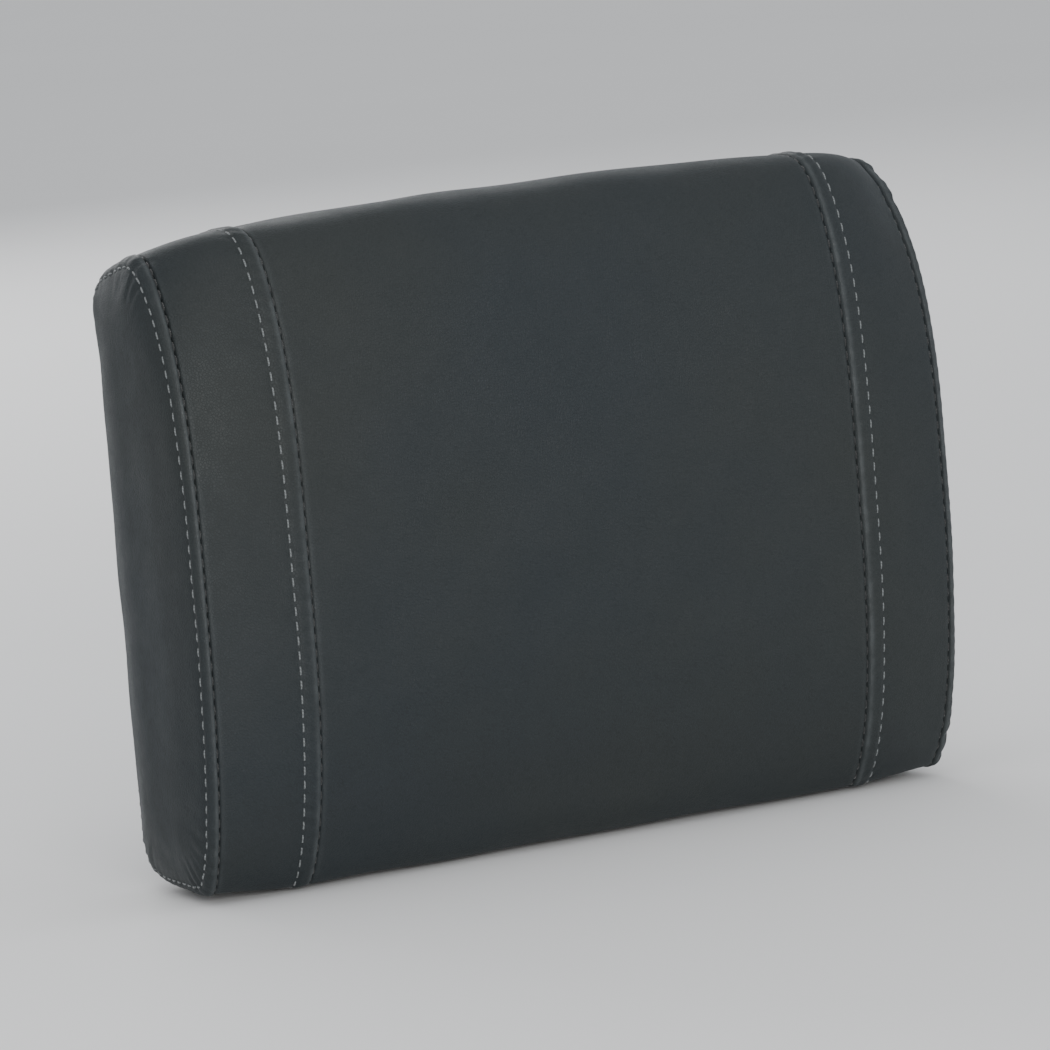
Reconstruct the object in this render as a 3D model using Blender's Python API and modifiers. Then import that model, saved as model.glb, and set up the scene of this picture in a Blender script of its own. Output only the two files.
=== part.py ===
"""Lumbar support cushion: foam core and wadding in a sewn artificial leather cover with a zip and a strap.

The cushion stands upright on its flat bottom. +X is to the right seen from the front, the front faces -Y,
the flat back faces +Y and +Z is up. The origin is in the middle of the flat bottom. Sizes are in metres.
"""

import math

import bmesh
import bpy
from mathutils import Matrix, Vector

# Overall size of the padded body, without the strap
WIDTH = 0.340
HEIGHT = 0.250
DEPTH = 0.085
FRONT_BULGE = 0.030  # how far the front stands ahead of the crest, the highest line of the top
CREST_AHEAD = 0.015  # from the origin forward to the crest
SEAT_FLAT = 0.004  # how much of the rounded underside is pressed flat

# Cover panels
SKIN = 0.0015  # artificial leather with its backing
GAP = 0.0003  # between pieces that touch
BAND_WIDTH = 0.042  # face bands, from the inner seams to the end seams
END_BULGE = 0.012  # end panels stand out of their seams by this much
END_ROUND = 0.034  # how far in from its seam an end panel keeps rising
END_TAPER = 0.008  # the end seams lean in by this much from front to back
CORNER_DROP = 0.003  # the top edge is lower by this much at the end seams
CORNER_RECESS = 0.005  # and the front falls back by this much there
FRONT_SQUARE, END_SQUARE, FRONT_ROUND = 3.0, 2.5, 1.6  # exponents of the front's curve
BACK_CORNER = 0.014  # radius where the top and bottom turn into the back
TOP_SLOPE = math.radians(15)  # slope of the top where it meets that radius
BACK_SEAM = 0.006  # from the back face to the seam round the back panels

# Filling
WADDING = 0.008
WADDING_BACK = 0.006  # from the back face to the wadding, free for the zip
WADDING_END = 0.022  # from the cushion's ends to the open ends of the wadding

# Zip across the back
ZIP_Z = 0.042
ZIP_SLOT = 0.014  # between the two back panels
ZIP_END = 0.030  # from the cushion's ends to the ends of the coils
TAPE_WIDTH = 0.014
TAPE_THICK = 0.0006
TAPE_END = 0.004  # from the end seams to the tapes
COIL_WIDTH = 0.0026
COIL_HEIGHT = 0.0019
SLIDER_LENGTH = 0.012
SLIDER_PLATE = 0.0012
SLIDER_NECK = 0.0010  # it runs in the split between the coils
SLIDER_FLANGE = 0.0010
SLIDER_PLAY = 0.0004
ZIP_EDGE = 0.0004  # bevel of the coils and stops
SLIDER_END = 0.004  # from the closed slider to the ends of the coils
STOP_LENGTH = 0.0028
BAIL_LENGTH = 0.0080
BAIL_WIDTH = 0.0024
BAIL_WALL = 0.0012
BAIL_ROOM = 0.0026  # under the bail, for the pull tab's bar
PULL_LENGTH = 0.026
PULL_WIDTH = 0.0076
PULL_THICK = 0.0014
PULL_EYE = 0.0062  # along the tab
PULL_CORNER = 0.0016

# Strap behind the back
STRAP_Z = 0.140
STRAP_WIDTH = 0.030
STRAP_THICK = 0.0015
STRAP_STANDOFF = 0.014  # from the back face to the middle of the strap and buckle
STRAP_BEND = 0.009
STRAP_LAYERS = 0.0004  # between the two layers of a loop
LOOP_PLAY = 0.0006  # between a loop and its buckle bar
LOOP_LENGTH = 0.022  # from a buckle bar to where its loop closes
LEFT_TAIL, RIGHT_TAIL = 0.030, 0.062  # second layer, from where its loop closes

# Side-release buckle
MOUTH_X = 0.010  # the socket's mouth
BUCKLE_PLAY = 0.0005  # between the strap's edges and the buckle's rails
BUCKLE_RAIL = 0.0035
BUCKLE_WALL = 0.0018
CAVITY_THICK = 0.0050
RAIL_THICK = 0.0050
SOCKET_END_WALL = 0.008  # behind the cavity
TIP_ROOM = 0.003  # from the tongue's tip to that wall
WINDOW_ROOM = 0.001  # along the strap, on each side of a prong's pad
BUCKLE_ROUND = 0.0009
SLOT_LENGTH = 0.0055
BAR_LENGTH = 0.0035
BAR_THICK = 0.0026
PLUG_BASE = 0.0067
TONGUE_WIDTH, TONGUE_LENGTH = 0.006, 0.020
PRONG_LENGTH = 0.019
PRONG_THICK = 0.0024
PAD_START, PAD_LENGTH, PAD_RISE = 0.007, 0.010, 0.0022

# Strap keeper
KEEPER_PLACE = 0.022  # from where the right loop closes
KEEPER_LENGTH = 0.008
KEEPER_WALL = 0.0016
KEEPER_PLAY = 0.0004
KEEPER_ROUND = 0.0005

# Places worked out from these sizes
Y_CREST = -CREST_AHEAD
Y_FRONT = Y_CREST - FRONT_BULGE
Y_BACK = Y_FRONT + DEPTH
SEAM_X = WIDTH / 2 - END_BULGE + END_TAPER / 2  # end seams at the front face
CENTRE_X = SEAM_X - BAND_WIDTH  # inner seams
SEAM_BACK_X = SEAM_X - END_TAPER  # end seams at the back face
BACK_SEAM_Y = Y_BACK - BACK_SEAM
FAR = WIDTH + HEIGHT + DEPTH  # cutters reach past everything

COIL_SPLIT = SLIDER_NECK + 2 * GAP  # between the two coils

STRAP_Y = Y_BACK + STRAP_STANDOFF
BUCKLE_HALF = STRAP_WIDTH / 2 + BUCKLE_PLAY  # inside the rails
BUCKLE_EDGE = BUCKLE_HALF + BUCKLE_RAIL
BUCKLE_FACE = CAVITY_THICK / 2 + BUCKLE_WALL
SOCKET_DEPTH = max(TONGUE_LENGTH, PRONG_LENGTH) + TIP_ROOM
SOCKET_END = MOUTH_X - SOCKET_DEPTH - SOCKET_END_WALL
WINDOW_HIGH = MOUTH_X - PAD_START + WINDOW_ROOM  # side windows of the socket, along x
WINDOW_LOW = MOUTH_X - PAD_START - PAD_LENGTH - WINDOW_ROOM
PLUG_START = MOUTH_X + GAP
PLUG_END = PLUG_START + PLUG_BASE

# Steps in the curves
FRONT_STEPS = 16
SLOPE_STEPS = 2
CORNER_STEPS = 4
BAND_STEPS = 3
END_STEPS = 4
LOOP_STEPS = 8
SHARP = math.radians(40)  # edges bent more than this are shaded sharp


# ---------------------------------------------------------------- scene and helpers

def clear_scene():
    for old in list(bpy.data.objects):
        bpy.data.objects.remove(old, do_unlink=True)


def new_collection(name):
    collection = bpy.data.collections.new(name)
    bpy.context.scene.collection.children.link(collection)
    return collection


def new_material(name, colour, roughness, metallic=0.0):
    material = bpy.data.materials.new(name)
    material.use_nodes = True
    shader = material.node_tree.nodes["Principled BSDF"]
    shader.inputs["Base Color"].default_value = (*colour, 1.0)
    shader.inputs["Roughness"].default_value = roughness
    shader.inputs["Metallic"].default_value = metallic
    return material


def new_object(name, mesh, place=(0, 0, 0), material=None):
    """A part of the cushion, or a cutter if it has no material."""
    obj = bpy.data.objects.new(name, mesh)
    obj.location = place
    if material is None:
        obj.hide_render = True
        obj.display_type = "WIRE"
        CUTTERS.objects.link(obj)
    else:
        mesh.materials.clear()
        mesh.materials.append(material)
        PARTS.objects.link(obj)
    return obj


def box(name, low, high, material=None, about=None):
    """A box between two corners, with its origin at its middle or at the point `about`."""
    low, high = Vector(low), Vector(high)
    place = Vector(about) if about is not None else (low + high) / 2
    bm = bmesh.new()
    bmesh.ops.create_cube(bm, size=1.0)
    size = Matrix.Diagonal((*(high - low), 1.0))
    bmesh.ops.transform(bm, matrix=Matrix.Translation((low + high) / 2 - place) @ size, verts=bm.verts)
    mesh = bpy.data.meshes.new(name)
    bm.to_mesh(mesh)
    bm.free()
    return new_object(name, mesh, place, material)


def combine(obj, others, operation):
    for other in others:
        step = obj.modifiers.new(operation.title(), "BOOLEAN")
        step.operation = operation
        step.object = other
        step.solver = "EXACT"


def bevel(obj, width, segments=1):
    edge = obj.modifiers.new("Bevel", "BEVEL")
    edge.width = width
    edge.segments = segments
    edge.limit_method = "ANGLE"


def lerp(a, b, share):
    return a + (b - a) * share


# ---------------------------------------------------------------- the padded form

def section(inset, end):
    """Closed outline (y, z) of the cushion from the side, `inset` inside its surface.

    end is 0 across the centre panel and 1 at an end seam. The front is a full, rounded curve. The top and
    bottom slope away from the crest as one arc and turn into the flat back with another.
    """
    top = HEIGHT - CORNER_DROP * end
    bottom = -SEAT_FLAT
    bulge = FRONT_BULGE - CORNER_RECESS * end - inset
    square = lerp(FRONT_SQUARE, END_SQUARE, end)
    middle = (top + bottom) / 2
    half = (top - bottom) / 2
    outline = []
    for step in range(FRONT_STEPS + 1):
        up = math.cos(math.pi * step / FRONT_STEPS)
        ahead = bulge * (1 - abs(up) ** square) ** (1 / FRONT_ROUND)
        outline.append((Y_CREST - ahead, middle + (half - inset) * up))

    rear = Y_BACK - Y_CREST
    slope_radius = (rear - BACK_CORNER * (1 - math.sin(TOP_SLOPE))) / math.sin(TOP_SLOPE)
    corner_y = (slope_radius - BACK_CORNER) * math.sin(TOP_SLOPE)
    corner_z = half - slope_radius + (slope_radius - BACK_CORNER) * math.cos(TOP_SLOPE)
    quarter = []
    for step in range(1, SLOPE_STEPS + 1):
        angle = TOP_SLOPE * step / SLOPE_STEPS
        reach = slope_radius - inset
        quarter.append((reach * math.sin(angle), half - slope_radius + reach * math.cos(angle)))
    for step in range(1, CORNER_STEPS + 1):
        angle = lerp(TOP_SLOPE, math.pi / 2, step / CORNER_STEPS)
        reach = BACK_CORNER - inset
        quarter.append((corner_y + reach * math.sin(angle), corner_z + reach * math.cos(angle)))
    outline += [(Y_CREST + y, middle - z) for y, z in quarter]
    outline += [(Y_CREST + y, middle + z) for y, z in reversed(quarter)]
    return [(y, max(z, inset)) for y, z in outline]


def seam_x(y):
    """Distance of the leaning end seams from the middle plane."""
    return SEAM_X - END_TAPER * (y - Y_FRONT) / DEPTH


def end_ring(inset, turn):
    """Points (x, y, z) round an end panel: at its seam for turn 0, at its flat middle for a right angle."""
    spine_y = (Y_FRONT + Y_BACK) / 2
    spine_low, spine_high = DEPTH / 2, HEIGHT - DEPTH / 2
    drawn_in = END_ROUND * (1 - math.cos(turn)) / (DEPTH / 2)
    rise = math.sin(turn)
    ring = []
    for y, z in section(inset, 1):
        spine_z = min(max(z, spine_low), spine_high)
        x = lerp(seam_x(y), SEAM_X - END_TAPER / 2, rise) + (END_BULGE - inset) * rise
        ring.append((x, lerp(y, spine_y, drawn_in), lerp(z, spine_z, drawn_in)))
    return ring


def form_mesh(name, inset):
    """The closed outer form of the cushion, `inset` inside its surface, lofted from end to end."""
    half = [[(CENTRE_X, y, z) for y, z in section(inset, 0)]]
    for step in range(1, BAND_STEPS):
        share = step / BAND_STEPS
        half.append([(lerp(CENTRE_X, seam_x(y), share), y, z) for y, z in section(inset, share ** 2)])
    for step in range(END_STEPS + 1):
        half.append(end_ring(inset, math.pi / 2 * step / END_STEPS))
    rings = [[(-x, y, z) for x, y, z in ring] for ring in reversed(half)] + half

    bm = bmesh.new()
    rows = [[bm.verts.new(point) for point in ring] for ring in rings]
    for row, following in zip(rows, rows[1:]):
        for k in range(len(row)):
            bm.faces.new((row[k - 1], row[k], following[k], following[k - 1]))
    bm.faces.new(rows[0])
    bm.faces.new(rows[-1])
    bmesh.ops.recalc_face_normals(bm, faces=bm.faces)
    mesh = bpy.data.meshes.new(name)
    bm.to_mesh(mesh)
    bm.free()
    mesh.shade_smooth()
    mesh.set_sharp_from_angle(angle=SHARP)
    return mesh


def region(name, x_low, x_high, lean_low=0.0, lean_high=0.0, y=(-FAR, FAR), z=(-FAR, FAR)):
    """A cutter whose -X and +X sides lean in towards the back as the end seams do."""
    cutter = box(name, (0, y[0], z[0]), (1, y[1], z[1]), about=(0, 0, 0))
    for vertex in cutter.data.vertices:
        back = (vertex.co.y - Y_FRONT) / DEPTH
        if vertex.co.x < 0.5:
            vertex.co.x = x_low - lean_low * back
        else:
            vertex.co.x = x_high - lean_high * back
    return cutter


# ---------------------------------------------------------------- cover and filling

def panel(name, within, inner, material, inset=0.0):
    """The part of the form inside the region `within` and outside the form `inner`."""
    obj = new_object(name, form_mesh(name, inset), material=material)
    combine(obj, [within], "INTERSECT")
    combine(obj, [inner], "DIFFERENCE")
    return obj


def make_cover():
    inside = new_object("form_inside_cover", form_mesh("form_inside_cover", SKIN))
    ahead = (-FAR, BACK_SEAM_Y - GAP / 2)
    behind = (BACK_SEAM_Y + GAP / 2, FAR)

    across = CENTRE_X - GAP / 2
    centre = region("region_centre", -across, across, y=ahead)
    panel("front_center_panel", centre, inside, LEATHER)

    edge = SEAM_X - GAP / 2
    bands = (
        ("left", region("region_left_band", -edge, -CENTRE_X - GAP / 2, lean_low=-END_TAPER, y=ahead)),
        ("right", region("region_right_band", CENTRE_X + GAP / 2, edge, lean_high=END_TAPER, y=ahead)),
    )
    for side, within in bands:
        panel(f"face_band_{side}", within, inside, LEATHER)

    edge = SEAM_X + GAP / 2
    ends = (
        ("left", region("region_left_end", -FAR, -edge, lean_high=-END_TAPER)),
        ("right", region("region_right_end", edge, FAR, lean_low=END_TAPER)),
    )
    for side, within in ends:
        panel(f"end_panel_{side}", within, inside, LEATHER)

    edge = SEAM_X - GAP / 2
    heights = (("upper", (ZIP_Z + ZIP_SLOT / 2, FAR)), ("lower", (-FAR, ZIP_Z - ZIP_SLOT / 2)))
    for level, z in heights:
        within = region(f"region_back_{level}", -edge, edge, -END_TAPER, END_TAPER, y=behind, z=z)
        panel(f"back_panel_{level}", within, inside, LEATHER)


def make_filling():
    outside = SKIN + GAP
    reach = WIDTH / 2 - WADDING_END
    hollow = new_object("form_inside_wadding", form_mesh("form_inside_wadding", outside + WADDING))
    within = region("region_wadding", -reach, reach, y=(-FAR, Y_BACK - WADDING_BACK))
    panel("wadding_wrap", within, hollow, POLYESTER, inset=outside)
    new_object("foam_core", form_mesh("foam_core", outside + WADDING + GAP), material=FOAM)


# ---------------------------------------------------------------- zip

def make_zip():
    tape_y = Y_BACK - SKIN - GAP - TAPE_THICK
    coil_y = tape_y + TAPE_THICK + GAP
    tape_x = SEAM_BACK_X - TAPE_END
    coil_x = WIDTH / 2 - ZIP_END
    for level, way in (("upper", 1), ("lower", -1)):
        edges = sorted((ZIP_Z + way * COIL_SPLIT / 2, ZIP_Z + way * (COIL_SPLIT / 2 + TAPE_WIDTH)))
        box(f"zip_tape_{level}", (-tape_x, tape_y, edges[0]), (tape_x, tape_y + TAPE_THICK, edges[1]), TAPE)
        edges = sorted((ZIP_Z + way * COIL_SPLIT / 2, ZIP_Z + way * (COIL_SPLIT / 2 + COIL_WIDTH)))
        coil = box(
            f"zip_coil_{level}",
            (-coil_x, coil_y, edges[0]),
            (coil_x, coil_y + COIL_HEIGHT, edges[1]),
            NYLON,
        )
        bevel(coil, ZIP_EDGE)
        stop = box(
            f"zip_top_stop_{level}",
            (coil_x + GAP, coil_y, edges[0]),
            (coil_x + GAP + STOP_LENGTH, coil_y + COIL_HEIGHT, edges[1]),
            METAL,
        )
        bevel(stop, ZIP_EDGE)
    reach = COIL_SPLIT / 2 + COIL_WIDTH
    stop = box(
        "zip_bottom_stop",
        (-coil_x - GAP - STOP_LENGTH, coil_y, ZIP_Z - reach),
        (-coil_x - GAP, coil_y + COIL_HEIGHT, ZIP_Z + reach),
        METAL,
    )
    bevel(stop, ZIP_EDGE)
    make_slider(coil_x, tape_y, coil_y)


def make_slider(coil_x, tape_y, coil_y):
    """The slider clasps the coils: its neck runs in the split, with a plate on each side of the tapes."""
    x = coil_x - SLIDER_END - SLIDER_LENGTH / 2
    low_x, high_x = x - SLIDER_LENGTH / 2, x + SLIDER_LENGTH / 2
    plate_y = coil_y + COIL_HEIGHT + GAP
    top_y = plate_y + SLIDER_PLATE
    inner_y = tape_y - GAP
    wing = COIL_SPLIT / 2 + COIL_WIDTH + SLIDER_PLAY
    edge = wing + SLIDER_FLANGE
    middle = Vector((x, plate_y, ZIP_Z))

    def slider_box(name, low, high, material=None):
        """A box of the slider, its z measured from the zip's middle line."""
        raised = Vector((0, 0, ZIP_Z))
        return box(name, Vector(low) + raised, Vector(high) + raised, material, middle)

    slider = slider_box("zip_slider", (low_x, plate_y, -edge), (high_x, top_y, edge), METAL)
    overlap = SLIDER_PLATE / 3
    bail_x = BAIL_LENGTH / 2
    beam_y = top_y + BAIL_ROOM
    helpers = [
        slider_box("slider_inner_plate", (low_x, inner_y - SLIDER_PLATE, -edge), (high_x, inner_y, edge)),
        slider_box(
            "slider_neck",
            (low_x + SLIDER_PLATE, inner_y - overlap, -SLIDER_NECK / 2),
            (high_x - SLIDER_PLATE, plate_y + overlap, SLIDER_NECK / 2),
        ),
        slider_box(
            "slider_bail",
            (x - bail_x, beam_y, -BAIL_WIDTH / 2),
            (x + bail_x, beam_y + BAIL_WALL, BAIL_WIDTH / 2),
        ),
    ]
    for way, side in ((1, "upper"), (-1, "lower")):
        z = sorted((way * wing, way * edge))
        flange_y = tape_y + TAPE_THICK + SLIDER_PLAY
        helpers.append(
            slider_box(f"slider_flange_{side}", (low_x, flange_y, z[0]), (high_x, plate_y + overlap, z[1]))
        )
        leg_x = sorted((x + way * bail_x, x + way * (bail_x - BAIL_WALL)))
        helpers.append(
            slider_box(
                f"slider_bail_leg_{side}",
                (leg_x[0], top_y - overlap, -BAIL_WIDTH / 2),
                (leg_x[1], beam_y + overlap, BAIL_WIDTH / 2),
            )
        )
    combine(slider, helpers, "UNION")
    make_pull_tab(x, top_y + BAIL_ROOM / 2)


def rounded_outline(low, high, radius, steps=3):
    """Corners of a rectangle in a plane, each rounded with an arc."""
    corners = (
        (high[0] - radius, high[1] - radius, 0),
        (low[0] + radius, high[1] - radius, 1),
        (low[0] + radius, low[1] + radius, 2),
        (high[0] - radius, low[1] + radius, 3),
    )
    points = []
    for x, y, quadrant in corners:
        for step in range(steps + 1):
            angle = math.pi / 2 * (quadrant + step / steps)
            points.append((x + radius * math.cos(angle), y + radius * math.sin(angle)))
    return points


def plate(name, outlines, thickness, material):
    """A flat plate with the first outline, and the others as holes in it."""
    curve = bpy.data.curves.new(name, "CURVE")
    curve.dimensions = "2D"
    curve.fill_mode = "BOTH"
    curve.extrude = thickness / 2
    for outline in outlines:
        spline = curve.splines.new("POLY")
        spline.points.add(len(outline) - 1)
        for point, (x, y) in zip(spline.points, outline):
            point.co = (x, y, 0, 1)
        spline.use_cyclic_u = True
    curve.materials.append(material)
    obj = bpy.data.objects.new(name, curve)
    PARTS.objects.link(obj)
    return obj


def make_pull_tab(x, y):
    """The tab's bar lies under the bail, and the tab turns on it from one side of the slider to the other."""
    bar = PULL_THICK / 2
    outer = rounded_outline((bar - PULL_LENGTH, -PULL_WIDTH / 2), (bar, PULL_WIDTH / 2), PULL_CORNER)
    eye_half = BAIL_WIDTH / 2 + SLIDER_PLAY
    eye = rounded_outline((-bar - PULL_EYE, -eye_half), (-bar, eye_half), SLIDER_PLAY, 1)
    tab = plate("zip_pull_tab", [outer, eye], PULL_THICK, METAL)
    tab.location = (x, y, ZIP_Z)
    tab.rotation_euler = (math.pi / 2, 0, 0)


# ---------------------------------------------------------------- buckle, strap and keeper

def buckle_box(name, x, z, thick, material=None, about=None):
    """A box given by its extent in x, its extent in z from the strap's middle, and half its thickness."""
    low = (min(x), STRAP_Y - thick, STRAP_Z + min(z))
    high = (max(x), STRAP_Y + thick, STRAP_Z + max(z))
    return box(name, low, high, material, about)


def bar_frame(name, start, way):
    """Two rails and the bar that a strap loops round, `way` from the plane x = start."""
    inner = start + way * SLOT_LENGTH
    outer = inner + way * BAR_LENGTH
    overlap = start - way * BUCKLE_WALL
    rails = []
    for side, sign in (("upper", 1), ("lower", -1)):
        across = (sign * BUCKLE_HALF, sign * BUCKLE_EDGE)
        rails.append(buckle_box(f"{name}_rail_{side}", (overlap, outer), across, RAIL_THICK / 2))
    reach = BUCKLE_HALF + BUCKLE_RAIL / 2
    return rails + [buckle_box(f"{name}_bar", (inner, outer), (-reach, reach), BAR_THICK / 2)]


def make_socket():
    across = (-BUCKLE_EDGE, BUCKLE_EDGE)
    socket = buckle_box("buckle_socket", (SOCKET_END, MOUTH_X), across, BUCKLE_FACE, PLASTIC)
    bevel(socket, BUCKLE_ROUND, 2)
    combine(socket, bar_frame("socket", SOCKET_END, -1), "UNION")
    cavity = buckle_box(
        "socket_cavity",
        (MOUTH_X - SOCKET_DEPTH, MOUTH_X + BUCKLE_WALL),
        (-BUCKLE_HALF, BUCKLE_HALF),
        CAVITY_THICK / 2,
    )
    reach = BUCKLE_EDGE + BUCKLE_WALL
    windows = buckle_box(
        "socket_windows", (WINDOW_LOW, WINDOW_HIGH), (-reach, reach), CAVITY_THICK / 2
    )
    combine(socket, [cavity, windows], "DIFFERENCE")


def make_plug():
    middle = ((PLUG_START + PLUG_END) / 2, STRAP_Y, STRAP_Z)
    across = (-BUCKLE_EDGE, BUCKLE_EDGE)
    plug = buckle_box("buckle_plug", (PLUG_START, PLUG_END), across, BUCKLE_FACE, PLASTIC, middle)
    bevel(plug, BUCKLE_ROUND, 2)
    inside = CAVITY_THICK / 2 - GAP
    tongue = buckle_box(
        "plug_tongue",
        (MOUTH_X - TONGUE_LENGTH, PLUG_START + BUCKLE_WALL),
        (-TONGUE_WIDTH / 2, TONGUE_WIDTH / 2),
        inside,
    )
    combine(plug, bar_frame("plug", PLUG_END, 1) + [tongue], "UNION")

    pad_z = BUCKLE_HALF - GAP
    arm_z = pad_z - PAD_RISE - PRONG_THICK
    for side, sign in (("upper", 1), ("lower", -1)):
        hinge = (MOUTH_X, STRAP_Y, STRAP_Z + sign * (arm_z + PRONG_THICK / 2))
        prong = buckle_box(
            f"latch_prong_{side}",
            (MOUTH_X - PRONG_LENGTH, MOUTH_X),
            (sign * arm_z, sign * (arm_z + PRONG_THICK)),
            inside,
            PLASTIC,
            hinge,
        )
        pad_end = MOUTH_X - PAD_START
        pad = buckle_box(
            f"prong_pad_{side}",
            (pad_end - PAD_LENGTH, pad_end),
            (sign * (arm_z + PRONG_THICK / 2), sign * pad_z),
            inside,
        )
        combine(prong, [pad], "UNION")


def strap_path(bar_x, tail):
    """Points (x, y) of a strap half on the +X side, from its seam to the end of its second layer.

    It leaves the back seam, turns behind the back, goes round the buckle bar whose inner face is at bar_x,
    and comes back along itself. Returns the points and the x at which the loop closes.
    """
    layer = (STRAP_THICK + STRAP_LAYERS) / 2
    loop = BAR_THICK / 2 + LOOP_PLAY + STRAP_THICK / 2
    turn_x = bar_x + BAR_THICK / 2 - GAP
    close_x = turn_x + LOOP_LENGTH
    bend_x = SEAM_BACK_X - STRAP_BEND
    bend_y = STRAP_Y - layer - STRAP_BEND
    points = [(SEAM_BACK_X, Y_BACK + GAP)]
    for step in range(LOOP_STEPS // 2 + 1):
        angle = math.pi / 2 * step / (LOOP_STEPS // 2)
        points.append((bend_x + STRAP_BEND * math.cos(angle), bend_y + STRAP_BEND * math.sin(angle)))
    points.append((close_x, STRAP_Y - layer))
    for step in range(LOOP_STEPS + 1):
        angle = math.pi * (1.5 - step / LOOP_STEPS)
        points.append((turn_x + loop * math.cos(angle), STRAP_Y + loop * math.sin(angle)))
    points.append((close_x, STRAP_Y + layer))
    points.append((close_x + tail, STRAP_Y + layer))
    return points, close_x


def make_strap(name, way, bar_x, tail):
    points, close_x = strap_path(bar_x, tail)
    bm = bmesh.new()
    rows = [
        [bm.verts.new((way * x, y, STRAP_Z + sign * STRAP_WIDTH / 2)) for sign in (-1, 1)]
        for x, y in points
    ]
    for row, following in zip(rows, rows[1:]):
        bm.faces.new((row[0], row[1], following[1], following[0]))
    mesh = bpy.data.meshes.new(name)
    bm.to_mesh(mesh)
    bm.free()
    strap = new_object(name, mesh, material=WEBBING)
    thick = strap.modifiers.new("Thickness", "SOLIDIFY")
    thick.thickness = STRAP_THICK
    thick.offset = 0.0
    thick.use_even_offset = True
    return close_x


def make_keeper(close_x):
    inner_y = STRAP_THICK + STRAP_LAYERS / 2 + KEEPER_PLAY
    inner_z = STRAP_WIDTH / 2 + BUCKLE_PLAY
    start = close_x + KEEPER_PLACE
    keeper = buckle_box(
        "strap_keeper",
        (start, start + KEEPER_LENGTH),
        (-inner_z - KEEPER_WALL, inner_z + KEEPER_WALL),
        inner_y + KEEPER_WALL,
        PLASTIC,
    )
    bevel(keeper, KEEPER_ROUND)
    hole = buckle_box(
        "keeper_hole",
        (start - KEEPER_WALL, start + KEEPER_LENGTH + KEEPER_WALL),
        (-inner_z, inner_z),
        inner_y,
    )
    combine(keeper, [hole], "DIFFERENCE")


def make_straps():
    make_socket()
    make_plug()
    make_strap("strap_left", -1, SLOT_LENGTH - SOCKET_END, LEFT_TAIL)
    close_x = make_strap("strap_right", 1, PLUG_END + SLOT_LENGTH, RIGHT_TAIL)
    make_keeper(close_x)


clear_scene()
PARTS = new_collection("lumbar_support_cushion")
CUTTERS = new_collection("cutters")
LEATHER = new_material("artificial_leather", (0.036, 0.044, 0.048), 0.55)
POLYESTER = new_material("polyester_wadding", (0.85, 0.85, 0.83), 0.95)
FOAM = new_material("foam", (0.80, 0.74, 0.52), 0.95)
TAPE = new_material("zip_tape", (0.020, 0.021, 0.023), 0.90)
NYLON = new_material("nylon_coil", (0.018, 0.018, 0.020), 0.45)
METAL = new_material("plated_zip_metal", (0.22, 0.22, 0.23), 0.35, 1.0)
WEBBING = new_material("elastic_webbing", (0.016, 0.016, 0.018), 0.85)
PLASTIC = new_material("buckle_plastic", (0.014, 0.014, 0.015), 0.40)
make_cover()
make_filling()
make_zip()
make_straps()
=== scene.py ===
"""Looks of the lumbar support cushion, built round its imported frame.

Sizes are in metres. The cover is one form, read by two coordinates: u runs across it from end to end, through
the seams, and v runs round it, over the top, down the front, along the bottom and up the back.
"""

import math
from contextlib import contextmanager

import bmesh
import bpy
import numpy as np
from mathutils import Matrix, Vector


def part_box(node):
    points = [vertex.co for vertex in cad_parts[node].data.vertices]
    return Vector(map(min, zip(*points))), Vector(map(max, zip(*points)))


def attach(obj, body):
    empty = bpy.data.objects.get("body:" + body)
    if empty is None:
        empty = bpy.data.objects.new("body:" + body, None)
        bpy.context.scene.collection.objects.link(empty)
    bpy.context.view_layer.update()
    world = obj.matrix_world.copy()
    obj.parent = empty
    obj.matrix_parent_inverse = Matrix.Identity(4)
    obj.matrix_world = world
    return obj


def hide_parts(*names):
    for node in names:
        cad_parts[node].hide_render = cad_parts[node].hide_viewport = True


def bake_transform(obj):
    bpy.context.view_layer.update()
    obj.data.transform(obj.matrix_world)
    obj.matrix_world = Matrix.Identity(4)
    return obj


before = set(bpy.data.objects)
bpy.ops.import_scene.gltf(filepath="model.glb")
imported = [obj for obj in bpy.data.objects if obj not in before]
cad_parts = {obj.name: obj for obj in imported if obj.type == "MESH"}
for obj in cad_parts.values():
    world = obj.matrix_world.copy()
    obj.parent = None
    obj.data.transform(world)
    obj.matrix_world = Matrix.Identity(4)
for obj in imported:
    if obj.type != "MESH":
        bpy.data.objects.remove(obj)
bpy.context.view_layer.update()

MM = 0.001

# ---------------------------------------------------------------- places from the frame
FRONT_LOW, FRONT_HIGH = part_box("front_center_panel")
END_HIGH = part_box("end_panel_right")[1]
UPPER_LOW, UPPER_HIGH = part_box("back_panel_upper")
LOWER_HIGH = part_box("back_panel_lower")[1]
GAP = 0.3 * MM  # between neighbouring pieces, as in the frame
HEIGHT = FRONT_HIGH.z
Y_FRONT, Y_BACK = FRONT_LOW.y, UPPER_HIGH.y
DEPTH = Y_BACK - Y_FRONT
INNER = FRONT_HIGH.x + GAP / 2  # u and x of the inner seams
BACK_SEAM_Y = FRONT_HIGH.y + GAP / 2
ZIP_LOW, ZIP_HIGH = LOWER_HIGH.z, UPPER_LOW.z  # the back panels' edges at the zip
ZIP_MIDDLE = (ZIP_LOW + ZIP_HIGH) / 2

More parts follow.
